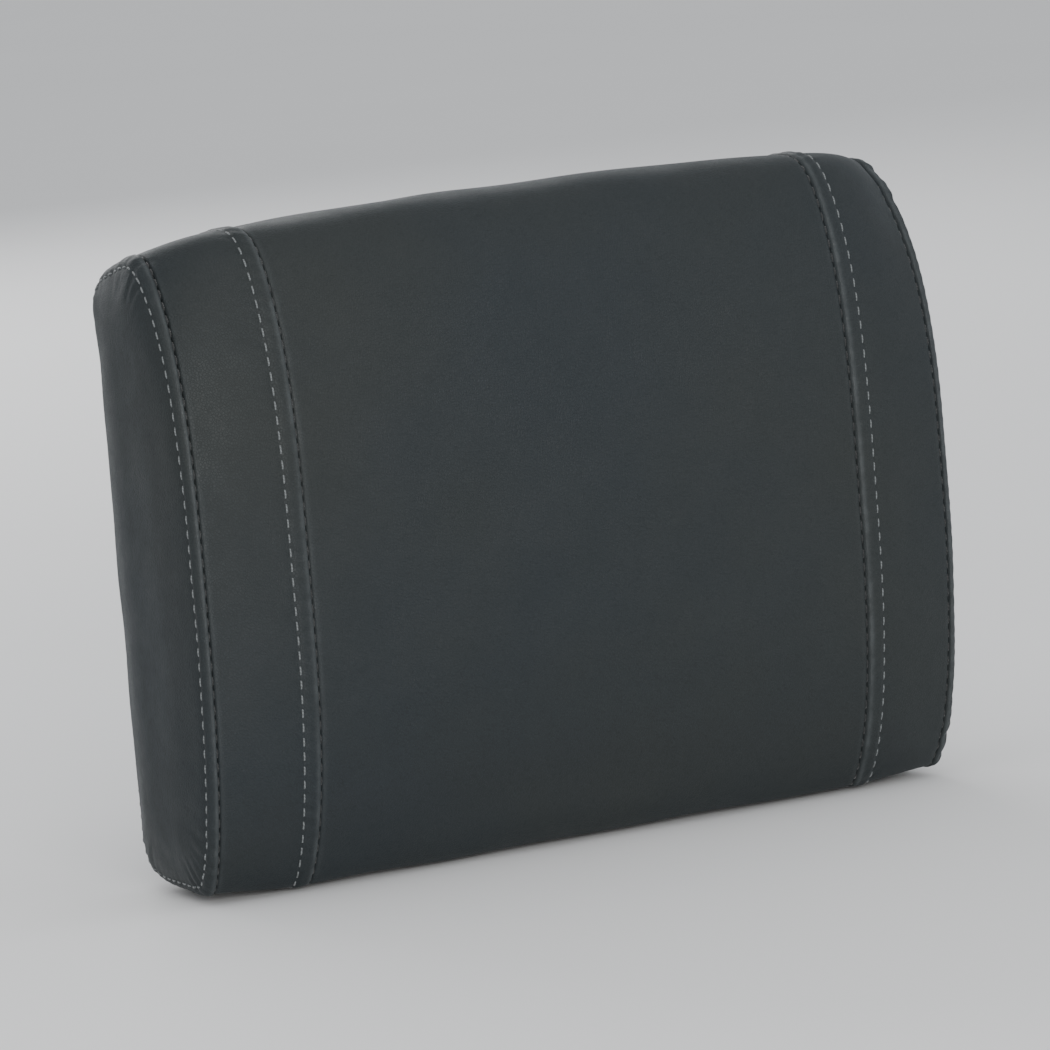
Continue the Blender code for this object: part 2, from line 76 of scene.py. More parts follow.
# ---------------------------------------------------------------- shape of the cover
Y_CREST = -15 * MM  # the highest line of the top
BAND = 42 * MM  # width of a face band
END_BULGE = 12.5 * MM  # how far an end panel stands out from its seam
END_ROUND = 34 * MM  # over what width it curves out
END_TAPER = 12 * MM  # the end seams lean in by this much from front to back, drawn in by the sewing
BACK_DROP = 6 * MM  # how much lower the top's back corners are
END_SHIFT = 18 * MM  # how much further back the crest lies at the ends, which rounds their upper corners
SEAT_FLAT = 4 * MM  # how much of the round section the seat presses flat
CORNER_DROP, CORNER_RECESS = 3 * MM, 5 * MM  # how far the ends' section stays below and behind the centre's
FRONT_SQUARE, END_SQUARE, FRONT_ROUND = 3.0, 2.5, 1.6  # exponents of the front's curve
BACK_CORNER = 14 * MM  # radius
TOP_SLOPE = math.radians(15)
CREST_SOFTNESS = 6 * MM  # over how much of the crest and foot the bend is spread
CREST_REACH, FOOT_REACH = 26 * MM, 22 * MM  # how far from them that softening is felt
CENTRE_CROWN, END_CROWN = 2.6 * MM, -1.5 * MM  # the top edge's height over the inner seams
FOOT_LIFT = 2.5 * MM  # how far the end seams' foot stays off the seat
END_OPENING = 6.5 * MM  # from where an end panel is full to the hole that close_end fills
SEAM_X = END_HIGH.x - 8 * MM  # x of the end seams at the front
OUTER = INNER + BAND  # u of the end seams

# ---------------------------------------------------------------- sewing
ROW = 7.4 * MM  # from a seam to its topstitching
PITCH = 5.5 * MM  # from stitch to stitch
STITCH = 4.1 * MM  # length of one
THREAD = 0.36 * MM  # radius
SEAM_SINK = 0.75 * MM  # how deep the seams' own stitches lie
ROLL = 1.15 * MM  # radius of a panel's folded edge
ALLOWANCE = 2.6 * MM  # how deep the folded edge goes in
SEAM_GAP = 0.04 * MM  # from a seam to each of its two folded edges
HEM, HEM_ROLL = 5.5 * MM, 0.6 * MM  # how far a hem goes back under its panel, and its radius
ZIP_ROW = 4.0 * MM  # from the back panels' edges at the zip to their topstitching
RAISE = 0.75 * MM  # of the strip over the folded allowances


def lerp(a, b, share):
    return a + (b - a) * share


def smooth(x, low, high):
    t = np.clip((x - low) / (high - low), 0, 1)
    return t * t * (3 - 2 * t)


def hump(x, centre, width):
    return np.exp(-(((x - centre) / width) ** 2))


class Wander:
    """A smooth random curve: a few sines whose pitches and phases come from a seed."""

    def __init__(self, seed, longest, shortest, count=9):
        rng = np.random.default_rng(seed)
        self.waves = 2 * np.pi / np.geomspace(longest, shortest, count) * rng.uniform(0.85, 1.18, count)
        self.phases = rng.uniform(0, 2 * np.pi, count)
        self.sizes = rng.uniform(0.5, 1.0, count)
        self.sizes /= self.sizes.sum()

    def __call__(self, x):
        x = np.asarray(x, float)
        return sum(a * np.sin(k * x + p) for a, k, p in zip(self.sizes, self.waves, self.phases))


# ---------------------------------------------------------------- the cover's form

def rear_curves(crest, half):
    """From the crest to the back seam, and from there to the back face, half the height over the middle."""
    radius = (Y_BACK - crest - BACK_CORNER * (1 - math.sin(TOP_SLOPE))) / math.sin(TOP_SLOPE)
    corner_y = Y_BACK - BACK_CORNER
    corner_z = half - radius + (radius - BACK_CORNER) * math.cos(TOP_SLOPE)
    seam = math.asin((BACK_SEAM_Y - corner_y) / BACK_CORNER)
    slope = np.linspace(0, TOP_SLOPE, 60)
    corner = np.linspace(TOP_SLOPE, seam, 60)[1:]
    behind = np.linspace(seam, np.pi / 2, 40)
    y = np.concatenate([crest + radius * np.sin(slope), corner_y + BACK_CORNER * np.sin(corner)])
    z = np.concatenate([half - radius + radius * np.cos(slope), corner_z + BACK_CORNER * np.cos(corner)])
    to_back = np.stack([corner_y + BACK_CORNER * np.sin(behind), corner_z + BACK_CORNER * np.cos(behind)])
    return np.stack([y, z]), to_back


def stretches(end):
    """The section (y, z) in four stretches: over the top, down the front, along the bottom, up the back."""
    top, bottom = HEIGHT - CORNER_DROP * end, -SEAT_FLAT
    middle, half = (top + bottom) / 2, (top - bottom) / 2
    crest = Y_CREST + END_SHIFT * end
    to_seam, to_back = rear_curves(crest, half)
    seam_below, back_below = rear_curves(Y_CREST, half)

    up = np.cos(np.linspace(0, np.pi, 700))
    square = lerp(FRONT_SQUARE, END_SQUARE, end)
    spine = lerp(Y_CREST, crest, smooth(up, -0.2, 1))
    ahead = (spine - Y_FRONT - CORNER_RECESS * end) * (1 - np.abs(up) ** square) ** (1 / FRONT_ROUND)
    front = np.stack([spine - ahead, middle + half * up])

    above, below = np.array([[0], [middle]]), np.array([[1], [-1]])
    return (
        to_seam[:, ::-1] + above,
        front,
        seam_below * below + above,
        np.concatenate([back_below * below + above, to_back[:, ::-1] + above], axis=1),
    )


SECTIONS = {}


def plain_section(end, v):
    """Points (y, z) of the section at the places v round it, where each whole number starts a stretch."""
    key = round(float(end), 6)
    if key not in SECTIONS:
        tables = []
        for line in stretches(key):
            along = np.concatenate([[0], np.cumsum(np.hypot(*np.diff(line, axis=1)))])
            tables.append((along / along[-1], line, along[-1]))
        SECTIONS[key] = tables
    v = np.mod(v, 4)
    y, z = np.zeros_like(v), np.zeros_like(v)
    for k, (share, line, _) in enumerate(SECTIONS[key]):
        here = (v >= k) & (v < k + 1)
        y[here] = np.interp(v[here] - k, share, line[0])
        z[here] = np.interp(v[here] - k, share, line[1])
    return y, np.maximum(z, 0)


plain_section(1, np.zeros(1))
STARTS = np.concatenate([[0], np.cumsum([length for _, _, length in SECTIONS[1.0]])])
ROUND_LENGTH = STARTS[-1]


def along(v):
    """Distance round the cover at the place v."""
    return np.interp(v, np.arange(5), STARTS)


def place(distance):
    return np.interp(distance, STARTS, np.arange(5))


def section(end, v):
    """The section with its crest and foot rounded, as the leather bends there over soft wadding."""
    v = np.mod(np.asarray(v, float), 4)
    s = along(v)
    near = np.maximum(hump(s, STARTS[1], CREST_REACH), 0.8 * hump(s, STARTS[2], FOOT_REACH))
    y, z = plain_section(end, v)
    mean_y, mean_z, total = 0, 0, 0
    for offset in np.linspace(-2.4, 2.4, 13):
        weight = math.exp(-offset ** 2 / 2)
        here = plain_section(end, place(np.mod(s + offset * CREST_SOFTNESS, ROUND_LENGTH)))
        mean_y, mean_z, total = mean_y + weight * here[0], mean_z + weight * here[1], total + weight
    return lerp(y, mean_y / total, near), lerp(z, mean_z / total, near)


TURNS = np.linspace(0, np.pi / 2, 200)
TURN_LENGTHS = np.concatenate([[0], np.cumsum(np.hypot(
    END_BULGE * np.diff(np.sin(TURNS)), END_ROUND * np.diff(np.cos(TURNS))
))])
END_REACH = TURN_LENGTHS[-1] + END_OPENING  # from an end seam to the hole in the end panel's middle


def seam_x(y):
    return SEAM_X - END_TAPER * (y - Y_FRONT) / DEPTH


def crown(a, y, z):
    """How much higher the top edge stands at the distance a across, fading down the faces."""
    across = lerp(CENTRE_CROWN, 0, np.clip(a / INNER, 0, 1) ** 2)
    across = across + END_CROWN * smooth(a, INNER, OUTER + END_BULGE)
    lifted = FOOT_LIFT * smooth(a, INNER, OUTER)
    corner = smooth(a, INNER - 30 * MM, OUTER + END_BULGE) * smooth(y, Y_CREST, Y_BACK - 10 * MM)
    raised = across * smooth(z, HEIGHT * 0.62, HEIGHT) + lifted * (1 - smooth(z, 0, HEIGHT * 0.12))
    return raised - BACK_DROP * corner * smooth(z, HEIGHT * 0.55, HEIGHT)


def column(u, v):
    """Points of the form at u across it and the places v round it."""
    a, side = abs(u), (1 if u >= 0 else -1)
    share = min(max((a - INNER) / BAND, 0), 1)
    y, z = section(share ** 2, v)
    if a <= OUTER:
        x = np.full_like(y, a) if a <= INNER else lerp(INNER, seam_x(y), share)
    else:
        beyond = a - OUTER
        turn = np.interp(beyond, TURN_LENGTHS, TURNS)
        drawn = (END_ROUND * (1 - math.cos(turn)) + max(0, beyond - TURN_LENGTHS[-1])) / (DEPTH / 2)
        rise = math.sin(turn)
        spine_z = np.clip(z, DEPTH / 2, HEIGHT - DEPTH / 2)
        x = lerp(seam_x(y), SEAM_X - END_TAPER / 2, rise) + END_BULGE * rise
        y, z = lerp(y, (Y_FRONT + Y_BACK) / 2, drawn), lerp(z, spine_z, drawn)
    return np.stack([side * x, y, z + crown(a, y, z)], axis=-1)


def form(us, vs):
    """Points and outward normals of the form on a grid of places."""
    step_u, step_v = 0.3 * MM, 0.004
    points, normals = [], []
    for u in us:
        low = u - step_u if abs(u - step_u) < OUTER + END_REACH else u
        high = u + step_u if abs(u + step_u) < OUTER + END_REACH else u
        across = column(high, vs) - column(low, vs)
        round_it = column(u, vs + step_v) - column(u, vs - step_v)
        points.append(column(u, vs))
        normals.append(unit(np.cross(round_it, across)))
    return np.array(points), np.array(normals)


# ---------------------------------------------------------------- meshes and pieces

@contextmanager
def edited(mesh):
    """A mesh opened for editing and written back afterwards."""
    bm = bmesh.new()
    bm.from_mesh(mesh)
    bm.verts.ensure_lookup_table()
    yield bm
    bm.to_mesh(mesh)
    bm.free()


def grid_mesh(name, points, closed=False, capped=False, sharp=None, **values):
    """A mesh from columns and rows of points, with values stored on them.

    closed joins the last row to the first, and capped fills the rings at both ends. Edges that turn by more
    than sharp degrees stay sharp.
    """
    index = np.arange(points[..., 0].size).reshape(points.shape[:2])
    turned = np.roll(index, -1, axis=1)
    if not closed:
        index, turned = index[:, :-1], turned[:, :-1]
    faces = np.stack([index[:-1], turned[:-1], turned[1:], index[1:]], axis=-1).reshape(-1, 4).tolist()
    if capped:
        faces += [index[0, ::-1].tolist(), index[-1].tolist()]
    mesh = bpy.data.meshes.new(name)
    mesh.from_pydata(points.reshape(-1, 3).tolist(), [], faces)
    if capped:
        with edited(mesh) as bm:
            bmesh.ops.recalc_face_normals(bm, faces=bm.faces)
    for key, value in values.items():
        stored = np.broadcast_to(value, points.shape[:2]).astype(np.float32)
        mesh.attributes.new(key, "FLOAT", "POINT").data.foreach_set("value", stored.ravel())
    return smoothed(mesh, sharp)


def smoothed(mesh, sharp=None):
    mesh.shade_smooth()
    if sharp:
        mesh.set_sharp_from_angle(angle=math.radians(sharp))
    return mesh


def spread(x, y, z):
    """Points from three arrays or numbers that broadcast together."""
    return np.stack(np.broadcast_arrays(x, y, z), axis=-1)


def unit(vectors):
    return vectors / np.maximum(np.linalg.norm(vectors, axis=-1, keepdims=True), 1e-12)


def holder(name, data):
    obj = bpy.data.objects.new(name, data)
    bpy.context.scene.collection.objects.link(obj)
    return obj


def add_piece(name, mesh, material, body="cushion", replaces=()):
    """A visible piece that rides on a body and stands for the frame's nodes."""
    obj = holder(name, mesh)
    mesh.materials.clear()
    mesh.materials.append(material)
    if body:
        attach(obj, body)
    if replaces:
        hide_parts(*replaces)
    return obj


# ---------------------------------------------------------------- filling it: a cloth simulation

CAPS = {"centre": 3.6 * MM, "strip": 0.35 * MM, "band": 2.2 * MM, "end": 2.6 * MM, "back": 2.6 * MM}
LATTICE_V = np.concatenate([k + np.linspace(0, 1, count)[:-1] for k, count in enumerate((11, 53, 11, 53))])
REGION_ENDS = (INNER, INNER + ROW, OUTER, OUTER + ROW, OUTER + END_REACH)
REGION_STEPS = (3, 6, 3, 9)
REGION_KINDS = ("strip", "band", "strip", "end")


def lattice_knots():
    """The lattice's regions across the cover, as (kind, knots), from the left end to the right."""
    right = []
    for k, kind in enumerate(REGION_KINDS):
        right.append((kind, np.linspace(REGION_ENDS[k], REGION_ENDS[k + 1], REGION_STEPS[k] + 1)))
    left = [(kind, -knots[::-1]) for kind, knots in reversed(right)]
    return left + [("centre", np.linspace(-INNER, INNER, 41))] + right


def simulate(points, pinned):
    """The cover blown up by its filling. Sewn places are pinned. Returns the moved points."""
    obj = holder("cover_cloth", grid_mesh("cover_cloth", points, closed=True, capped=True))
    obj.vertex_groups.new(name="sewn").add(np.flatnonzero(pinned).tolist(), 1.0, "REPLACE")
    cloth = obj.modifiers.new("Cloth", "CLOTH")
    settings = cloth.settings
    settings.quality = 5
    settings.mass = 0.3
    settings.tension_stiffness = 40
    settings.compression_stiffness = 40
    settings.shear_stiffness = 20
    settings.bending_stiffness = 2
    settings.vertex_group_mass = "sewn"
    settings.use_pressure = True
    settings.uniform_pressure_force = 4
    settings.effector_weights.gravity = 0
    cloth.collision_settings.use_collision = False
    cloth.point_cache.frame_start, cloth.point_cache.frame_end = 1, 20
    for number in range(1, 21):
        bpy.context.scene.frame_set(number)
    evaluated = obj.evaluated_get(bpy.context.evaluated_depsgraph_get())
    moved = np.array([vertex.co for vertex in evaluated.data.vertices]).reshape(points.shape)
    bpy.data.objects.remove(obj, do_unlink=True)
    bpy.context.scene.frame_set(1)
    return moved


def fill_lattice():
    """How far the filling pushes the cover out, on a lattice: (regions, heights for each region)."""
    regions = lattice_knots()
    knots = np.concatenate([region[1][:-1] for region in regions] + [regions[-1][1][-1:]])
    points, normals = form(knots, LATTICE_V)
    a = np.abs(knots)[:, None]
    lines = np.min(np.abs(a - np.array(REGION_ENDS[:4])), axis=1, keepdims=True) < 0.1 * MM
    lines = lines & ((LATTICE_V <= 3) | (a >= OUTER - GAP))
    back_seams = ((LATTICE_V == 0) | (LATTICE_V == 3)) & (a <= OUTER + GAP)
    near_zip = (LATTICE_V > 3) & (np.abs(points[..., 2] - ZIP_MIDDLE) < 12 * MM) & (a <= OUTER + GAP)
    seat = points[..., 2] < 1 * MM
    moved = simulate(points, lines | back_seams | near_zip | seat)
    lift = np.einsum("ijk,ijk->ij", moved - points, normals)
    heights, start = [], 0
    front = LATTICE_V <= 3
    back = np.ix_(np.abs(knots) <= OUTER + GAP, ~front)
    back_share = min(1, CAPS["back"] / np.abs(lift[back]).max())
    for kind, region in regions:
        part = lift[start:start + len(region)].copy()
        start += len(region) - 1
        behind = np.abs(region).max() <= OUTER + GAP
        rows = front if behind else np.full_like(front, True)
        part[:, rows] *= min(1, CAPS[kind] / np.abs(part[:, rows]).max())
        if behind:
            part[:, ~front] *= back_share
        if kind == "end":
            beyond = np.abs(region) - OUTER
            plateau = part[(beyond > 14 * MM) & (beyond < 28 * MM)].mean()
            part = lerp(part, plateau, smooth(beyond, 10 * MM, 30 * MM)[:, None])
        heights.append(part)
    return regions, heights


def curve_through(x, knots, values):
    """Smooth interpolation of the rows of values between knots."""
    slopes = np.gradient(values, knots, axis=0)
    i = np.clip(np.searchsorted(knots, x, side="right") - 1, 0, len(knots) - 2)
    span = knots[i + 1] - knots[i]
    t = (np.clip(x, knots[0], knots[-1]) - knots[i]) / span
    t, span = t[:, None], span[:, None]
    return (
        (2 * t ** 3 - 3 * t ** 2 + 1) * values[i] + (t ** 3 - 2 * t ** 2 + t) * span * slopes[i]
        + (3 * t ** 2 - 2 * t ** 3) * values[i + 1] + (t ** 3 - t ** 2) * span * slopes[i + 1]
    )


FILLED_REGIONS, FILLED_HEIGHTS = fill_lattice()


def filled(us, vs):
    """How far the filling pushes the cover out, at each place of a grid."""
    wrapped_v = np.concatenate([LATTICE_V[-3:] - 4, LATTICE_V, LATTICE_V[:3] + 4])
    us = np.asarray(us, float)
    out = np.zeros((len(us), len(vs)))
    for (_, knots), heights in zip(FILLED_REGIONS, FILLED_HEIGHTS):
        here = (us >= knots[0]) & (us <= knots[-1])
        if not here.any():
            continue
        wrapped = np.concatenate([heights[:, -3:], heights, heights[:, :3]], axis=1)
        rows = curve_through(np.mod(vs, 4), wrapped_v, wrapped.T).T
        out[here] = curve_through(us[here], knots, rows)
    return out


# ---------------------------------------------------------------- relief of the sewn leather

def seam_relief(out, s, seed, corner, puckered):
    """Height beside a seam. out is the distance across from it, outwards, and s the distance along it."""
    strength = 0.75 + 0.5 * Wander(seed, 90 * MM, 14 * MM)(s)
    lean = Wander(seed + 1, 160 * MM, 40 * MM)(s)
    raised = RAISE * smooth(out, -0.2 * MM, 1.4 * MM) * (1 - smooth(out, ROW - 0.6 * MM, ROW + 1.8 * MM))
    drawn = -0.55 * MM * hump(out, ROW, 1.0 * MM)
    beat = np.cos(2 * np.pi * s / PITCH)
    notch = -0.26 * MM * (1 - 0.3 * puckered * (1 - beat)) * hump(out, 0, 1.5 * MM)
    holes = -0.22 * MM * (0.5 + 0.5 * beat) * hump(out, ROW, 1.1 * MM)
    between = smooth(out, 0.3 * MM, 2.0 * MM) * (1 - smooth(out, ROW - 2.0 * MM, ROW))
    beyond = smooth(out, ROW, ROW + 1.5 * MM) * np.exp(-np.maximum(out - ROW, 0) / (4.0 * MM))
    before = smooth(-out, 0.5 * MM, 1.5 * MM) * np.exp(-np.maximum(-out, 0) / (3.0 * MM))
    skew = 2 * np.pi * (out / (9 * MM)) * (0.6 + lean)
    waves = np.cos(2 * np.pi * s / PITCH + skew + 1.2 * lean)
    size = puckered * (0.19 * between + 0.15 * beyond + 0.09 * before) * MM
    size = size * np.clip(strength, 0.1, 1.6) * (1 + 0.9 * corner)
    return raised + drawn + notch + holes + size * waves


def corner_places(s):
    """1 where the end seams turn a corner of the section, 0 along its straighter stretches."""
    crest, foot = STARTS[1], STARTS[2]
    top_front = hump(s, crest + 14 * MM, 20 * MM)
    foot_front = hump(s, foot - 14 * MM, 20 * MM)
    top_back = hump(s, 0, 12 * MM) + hump(s, ROUND_LENGTH, 12 * MM)
    foot_back = hump(s, STARTS[3], 12 * MM)
    return top_front + foot_front + 0.8 * (top_back + foot_back)


SLOW = [Wander(seed, 0.21, 0.055, 5) for seed in (3, 4, 5, 6)]
GATHER = [Wander(seed, 34 * MM, 8 * MM, 7) for seed in (11, 12)]


def relief(us, vs):
    """All that the sewing and the leather add to the form, at each place of a grid."""
    u = np.asarray(us, float)[:, None]
    s = along(np.mod(vs, 4))[None, :]
    a, side = np.abs(u), np.where(u >= 0, 1, 0)
    corner = corner_places(s)
    out = np.zeros(np.broadcast(u, s).shape)
    front = (np.mod(vs, 4) <= 3)[None, :]
    for k, (seam, reach) in enumerate(((INNER, 16 * MM), (OUTER, 24 * MM))):
        near = (np.abs(a - seam) < reach) * (1 - smooth(np.abs(a - seam), reach * 0.7, reach))
        for right in (0, 1):
            mask = near * (side == right)
            if mask.any():
                bend = 0.35 * hump(s, STARTS[1] + 8 * MM, 18 * MM) if k == 0 else corner
                puckered = (1.0, 0.5)[k]
                height = seam_relief(a - seam, s + 1.7 * MM * right, 20 + 4 * k + right, bend, puckered)
                out += height * mask * (front if k == 0 else 1)
    gathered = corner * smooth(a, OUTER - 6 * MM, OUTER + 4 * MM)
    gathered = gathered * (1 - smooth(a, OUTER + 8 * MM, OUTER + 24 * MM))
    folds = np.where(side == 1, GATHER[0](s), GATHER[1](s))
    out += 1.7 * MM * gathered * np.minimum(folds, 0.15)
    z = np.array([section(1, np.asarray(vs, float))[1]])
    for sign, edge in ((1, ZIP_HIGH), (-1, ZIP_LOW)):
        inside = sign * (z - edge)
        hem = 0.4 * MM * (1 - smooth(inside, ZIP_ROW - 0.6 * MM, ZIP_ROW + 1.2 * MM))
        hem = hem - 0.45 * MM * hump(inside, ZIP_ROW, 1.0 * MM)
        beat = 0.12 * MM * np.cos(2 * np.pi * u / PITCH) * hump(inside, ZIP_ROW / 2, 2 * MM)
        out += (hem + beat) * (inside > 0) * (inside < 12 * MM) * ~front * (a < OUTER)
    slow = SLOW[0](u * 0.9 + 0.31) * SLOW[1](s) + SLOW[2](u + 0.4 * s) * SLOW[3](s - 0.3 * u)
    away = 1 - 0.7 * hump(a, INNER, 12 * MM) - 0.7 * hump(a, OUTER, 12 * MM)
    away = away * (1 - smooth(a, OUTER + 8 * MM, OUTER + 28 * MM))
    return out + 1.5 * MM * slow * away


def cover_points(us, vs, sink=0.0):
    """Final points and normals of the cover on a grid of places. sink is how deep an edge is folded in."""
    points, normals = form(us, vs)
    height = filled(us, vs) + relief(us, vs) - sink
    points = points + normals * height[..., None]
    z = points[..., 2]
    points[..., 2] = np.maximum((z + np.sqrt(z ** 2 + (2.6 * MM) ** 2)) / 2 - 0.35 * MM, 0)
    return points, normals


# ---------------------------------------------------------------- panels

def edge_fold(way, hem=False):
    """A folded edge as (distance inside the panel, depth) from its hidden end to the face.

    A seam's edge goes straight in. A hem is turned back under the panel.
    """
    if hem:
        fold = [(HEM + 1 * MM, 2 * HEM_ROLL), (HEM / 2, 2 * HEM_ROLL)]
        for turn in np.linspace(-np.pi / 2, np.pi / 2, 8):
            fold.append((HEM_ROLL * (1 - math.cos(turn)), HEM_ROLL * (1 - math.sin(turn))))
        return fold if way > 0 else fold[::-1]
    fold = [(SEAM_GAP, ROLL + ALLOWANCE), (SEAM_GAP, ROLL + ALLOWANCE / 2)]
    for turn in np.linspace(0, np.pi / 2, 6):
        fold.append((SEAM_GAP + ROLL * (1 - math.cos(turn)), ROLL * (1 - math.sin(turn))))
    return fold if way > 0 else fold[::-1]


def graded(low, high, fine, coarse, reach):
    """Places between two edges: fine steps near both, coarser ones in the middle."""
    places, here = [], 0.0
    length = high - low
    while here < length / 2:
        places.append(here)
        here += lerp(fine, coarse, float(smooth(here, reach * 0.5, reach * 1.5)))
    half = np.array(places) * (length / 2 / here)
    return np.concatenate([low + half, [(low + high) / 2], (high - half)[::-1]])


def samples(low, high, fine, coarse, reach, edges=("seam", "seam")):
    """Places and depths across a panel between two edges, each folded as a seam, as a hem or not."""
    start = edge_fold(1, edges[0] == "hem") if edges[0] else []
    finish = edge_fold(-1, edges[1] == "hem") if edges[1] else []
    inner_low = low + (start[-1][0] if start else 0)
    inner_high = high - (finish[0][0] if finish else 0)
    middle = graded(inner_low, inner_high, fine, coarse, reach)
    places = [low + d for d, _ in start[:-1]] + list(middle) + [high - d for d, _ in finish[1:]]
    depths = [z for _, z in start[:-1]] + [0.0] * len(middle) + [z for _, z in finish[1:]]
    return np.array(places), np.array(depths)


def edge_wear(us, depth_u, depth_v, vs):
    """1 on the folded edges beside seams, fading to 0: there the leather is painted lighter, partly as real
    rubbing and partly as a painted highlight on the fold, and polished shiny.
    """
    a = np.abs(np.asarray(us))[:, None]
    near = np.zeros((len(us), len(vs)))
    front = (np.mod(vs, 4) <= 3)[None, :]
    for seam, sewn in ((INNER, front), (OUTER, True)):
        near = np.maximum(near, hump(a - seam, 1.5 * MM, 1.0 * MM) * (a > seam) * sewn)
        near = np.maximum(near, 0.3 * hump(a - seam, -1.3 * MM, 1.0 * MM) * (a < seam) * sewn)
    shown = (depth_u[:, None] < ROLL * 0.8) & (depth_v[None, :] < ROLL * 0.8)
    return near * shown


def cover_panel(name, us, depth_u, distances, depth_v, node, closed=False):
    vs = place(distances)
    points, _ = cover_points(us, vs, np.maximum(depth_u[:, None], depth_v[None, :]))
    # The stored values place a painted highlight on the folded edges, partly real rubbing of the leather.
    mesh = grid_mesh(name, points, closed, wear=edge_wear(us, depth_u, depth_v, vs))
    piece = add_piece(name, mesh, LEATHER, "cushion", [node])
    return piece


# ---------------------------------------------------------------- materials

def fill_in(socket, value):
    """Links a socket to the output it is given, or sets its value."""
    if isinstance(value, bpy.types.NodeSocket):
        socket.id_data.links.new(value, socket)
    else:
        socket.default_value = value


def feed(shader, **values):
    for key, value in values.items():
        fill_in(shader.inputs[key.replace("_", " ")], value)


def add_node(tree, kind, **settings):
    """A shader node. Settings that name an input fill it in, and the others are the node's own."""
    made = tree.nodes.new("ShaderNode" + kind)
    for key, value in settings.items():
        name = key.replace("_", " ").lower()
        target = next((i for i in made.inputs if i.name.lower() == name and i.enabled), None)
        if key.startswith("in") and key[2:].isdigit():
            target = made.inputs[int(key[2:])]
        if target is None:
            setattr(made, key, value)
        else:
            fill_in(target, value)
    return made


def new_material(name, roughness, **sockets):
    material = bpy.data.materials.new(name)
    material.use_nodes = True
    shader = material.node_tree.nodes["Principled BSDF"]
    feed(shader, Roughness=roughness, **sockets)
    return material, material.node_tree, shader


def object_place(tree, stretch=(1, 1, 1)):
    coords = add_node(tree, "TexCoord")
    return add_node(tree, "Mapping", Vector=coords.outputs["Object"], Scale=stretch).outputs["Vector"]


def noise(tree, where, scale, detail, **more):
    return add_node(tree, "TexNoise", Vector=where, Scale=scale, Detail=detail, **more).outputs["Fac"]


def ramp(tree, value, low, high, to_low=0.0, to_high=1.0):
    made = add_node(tree, "MapRange", Value=value, From_Min=low, From_Max=high, To_Min=to_low, To_Max=to_high)
    return made.outputs["Result"]


def mix_colour(tree, share, a, b, blend="MIX"):
    made = add_node(tree, "Mix", data_type="RGBA", blend_type=blend)
    for place_in, value in ((0, share), (6, a), (7, b)):
        fill_in(made.inputs[place_in], (*value, 1.0) if isinstance(value, tuple) else value)
    return made.outputs[2]


def calculate(tree, operation, a, b):
    return add_node(tree, "Math", operation=operation, in0=a, in1=b).outputs[0]


def bump(tree, shader, height, distance, strength=1.0, **after):
    made = add_node(tree, "Bump", Height=height, Distance=distance, Strength=strength, **after)
    feed(shader, Normal=made.outputs["Normal"])
    return made.outputs["Normal"]


def make_leather():
    """Matt artificial leather: fine pebbled grain, slow colour changes, and folds painted lighter, partly as
    real rubbing and partly as a painted highlight.
    """
    material, tree, shader = new_material(
        "artificial_leather", 0.55, Sheen_Weight=0.04, Sheen_Roughness=0.45, Sheen_Tint=(0.75, 0.86, 0.92, 1),
        Specular_IOR_Level=0.24,
    )
    where = object_place(tree)
    warp = add_node(tree, "TexNoise", Vector=where, Scale=420.0, Detail=2.0).outputs["Color"]
    shift = (0.0007, 0.0007, 0.0007)
    bent = add_node(tree, "VectorMath", operation="MULTIPLY_ADD", in0=warp, in1=shift, in2=where)
    cells = add_node(tree, "TexVoronoi", feature="DISTANCE_TO_EDGE", Vector=bent.outputs[0], Scale=950.0)
    creases = ramp(tree, cells.outputs["Distance"], 0.0, 0.16)
    fine = noise(tree, where, 2600.0, 3.0)
    dents = noise(tree, where, 75.0, 4.0, Roughness=0.6)
    tone = ramp(tree, noise(tree, where, 7.0, 3.0), 0.34, 0.66)
    colour = mix_colour(tree, tone, (0.0150, 0.0197, 0.0228), (0.0185, 0.0222, 0.0222))
    colour = mix_colour(tree, 1.0, colour, ramp(tree, fine, 0.35, 0.70, 0.82, 1.16), "MULTIPLY")
    colour = mix_colour(tree, 1.0, colour, ramp(tree, creases, 0.0, 1.0, 0.80, 1.03), "MULTIPLY")
    # The folded edges beside seams are painted lighter in patches: partly real rubbing, partly a painted
    # highlight where the fold catches the light.
    wear = add_node(tree, "Attribute", attribute_name="wear").outputs["Fac"]
    patches = noise(tree, where, 160.0, 3.0)
    worn_and_highlit = calculate(tree, "MULTIPLY", wear, ramp(tree, patches, 0.30, 0.62, 0.35, 1.0))
    colour = mix_colour(tree, calculate(tree, "MULTIPLY", worn_and_highlit, 0.55), colour, (0.060, 0.068, 0.071))
    polish = calculate(tree, "MULTIPLY", worn_and_highlit, 0.14)
    rough = calculate(tree, "SUBTRACT", ramp(tree, dents, 0.3, 0.7, 0.52, 0.64), polish)
    feed(shader, Base_Color=colour, Roughness=rough)
    soft = bump(tree, shader, dents, 0.00055, 0.55)
    grain = calculate(tree, "ADD", creases, calculate(tree, "MULTIPLY", fine, 0.45))
    bump(tree, shader, grain, 0.00010, 0.75, Normal=soft)
    return material


def make_thread(name, colour):
    """Sewing thread: plies that twist round it, a little fuzz."""
    material, tree, shader = new_material(name, 0.6, Sheen_Weight=0.3)
    where = object_place(tree)
    twist = add_node(tree, "TexWave", Vector=where, Scale=520.0, Distortion=1.5, bands_direction="DIAGONAL")
    plies = twist.outputs["Fac"]
    fuzz = ramp(tree, noise(tree, where, 3500.0, 2.0), 0.3, 0.7)
    tint = mix_colour(tree, fuzz, tuple(0.85 * c for c in colour), colour)
    shade = ramp(tree, plies, 0.0, 1.0, 0.62, 1.1)
    feed(shader, Base_Color=mix_colour(tree, 1.0, tint, shade, "MULTIPLY"))
    bump(tree, shader, plies, 0.00012, 0.8)
    return material


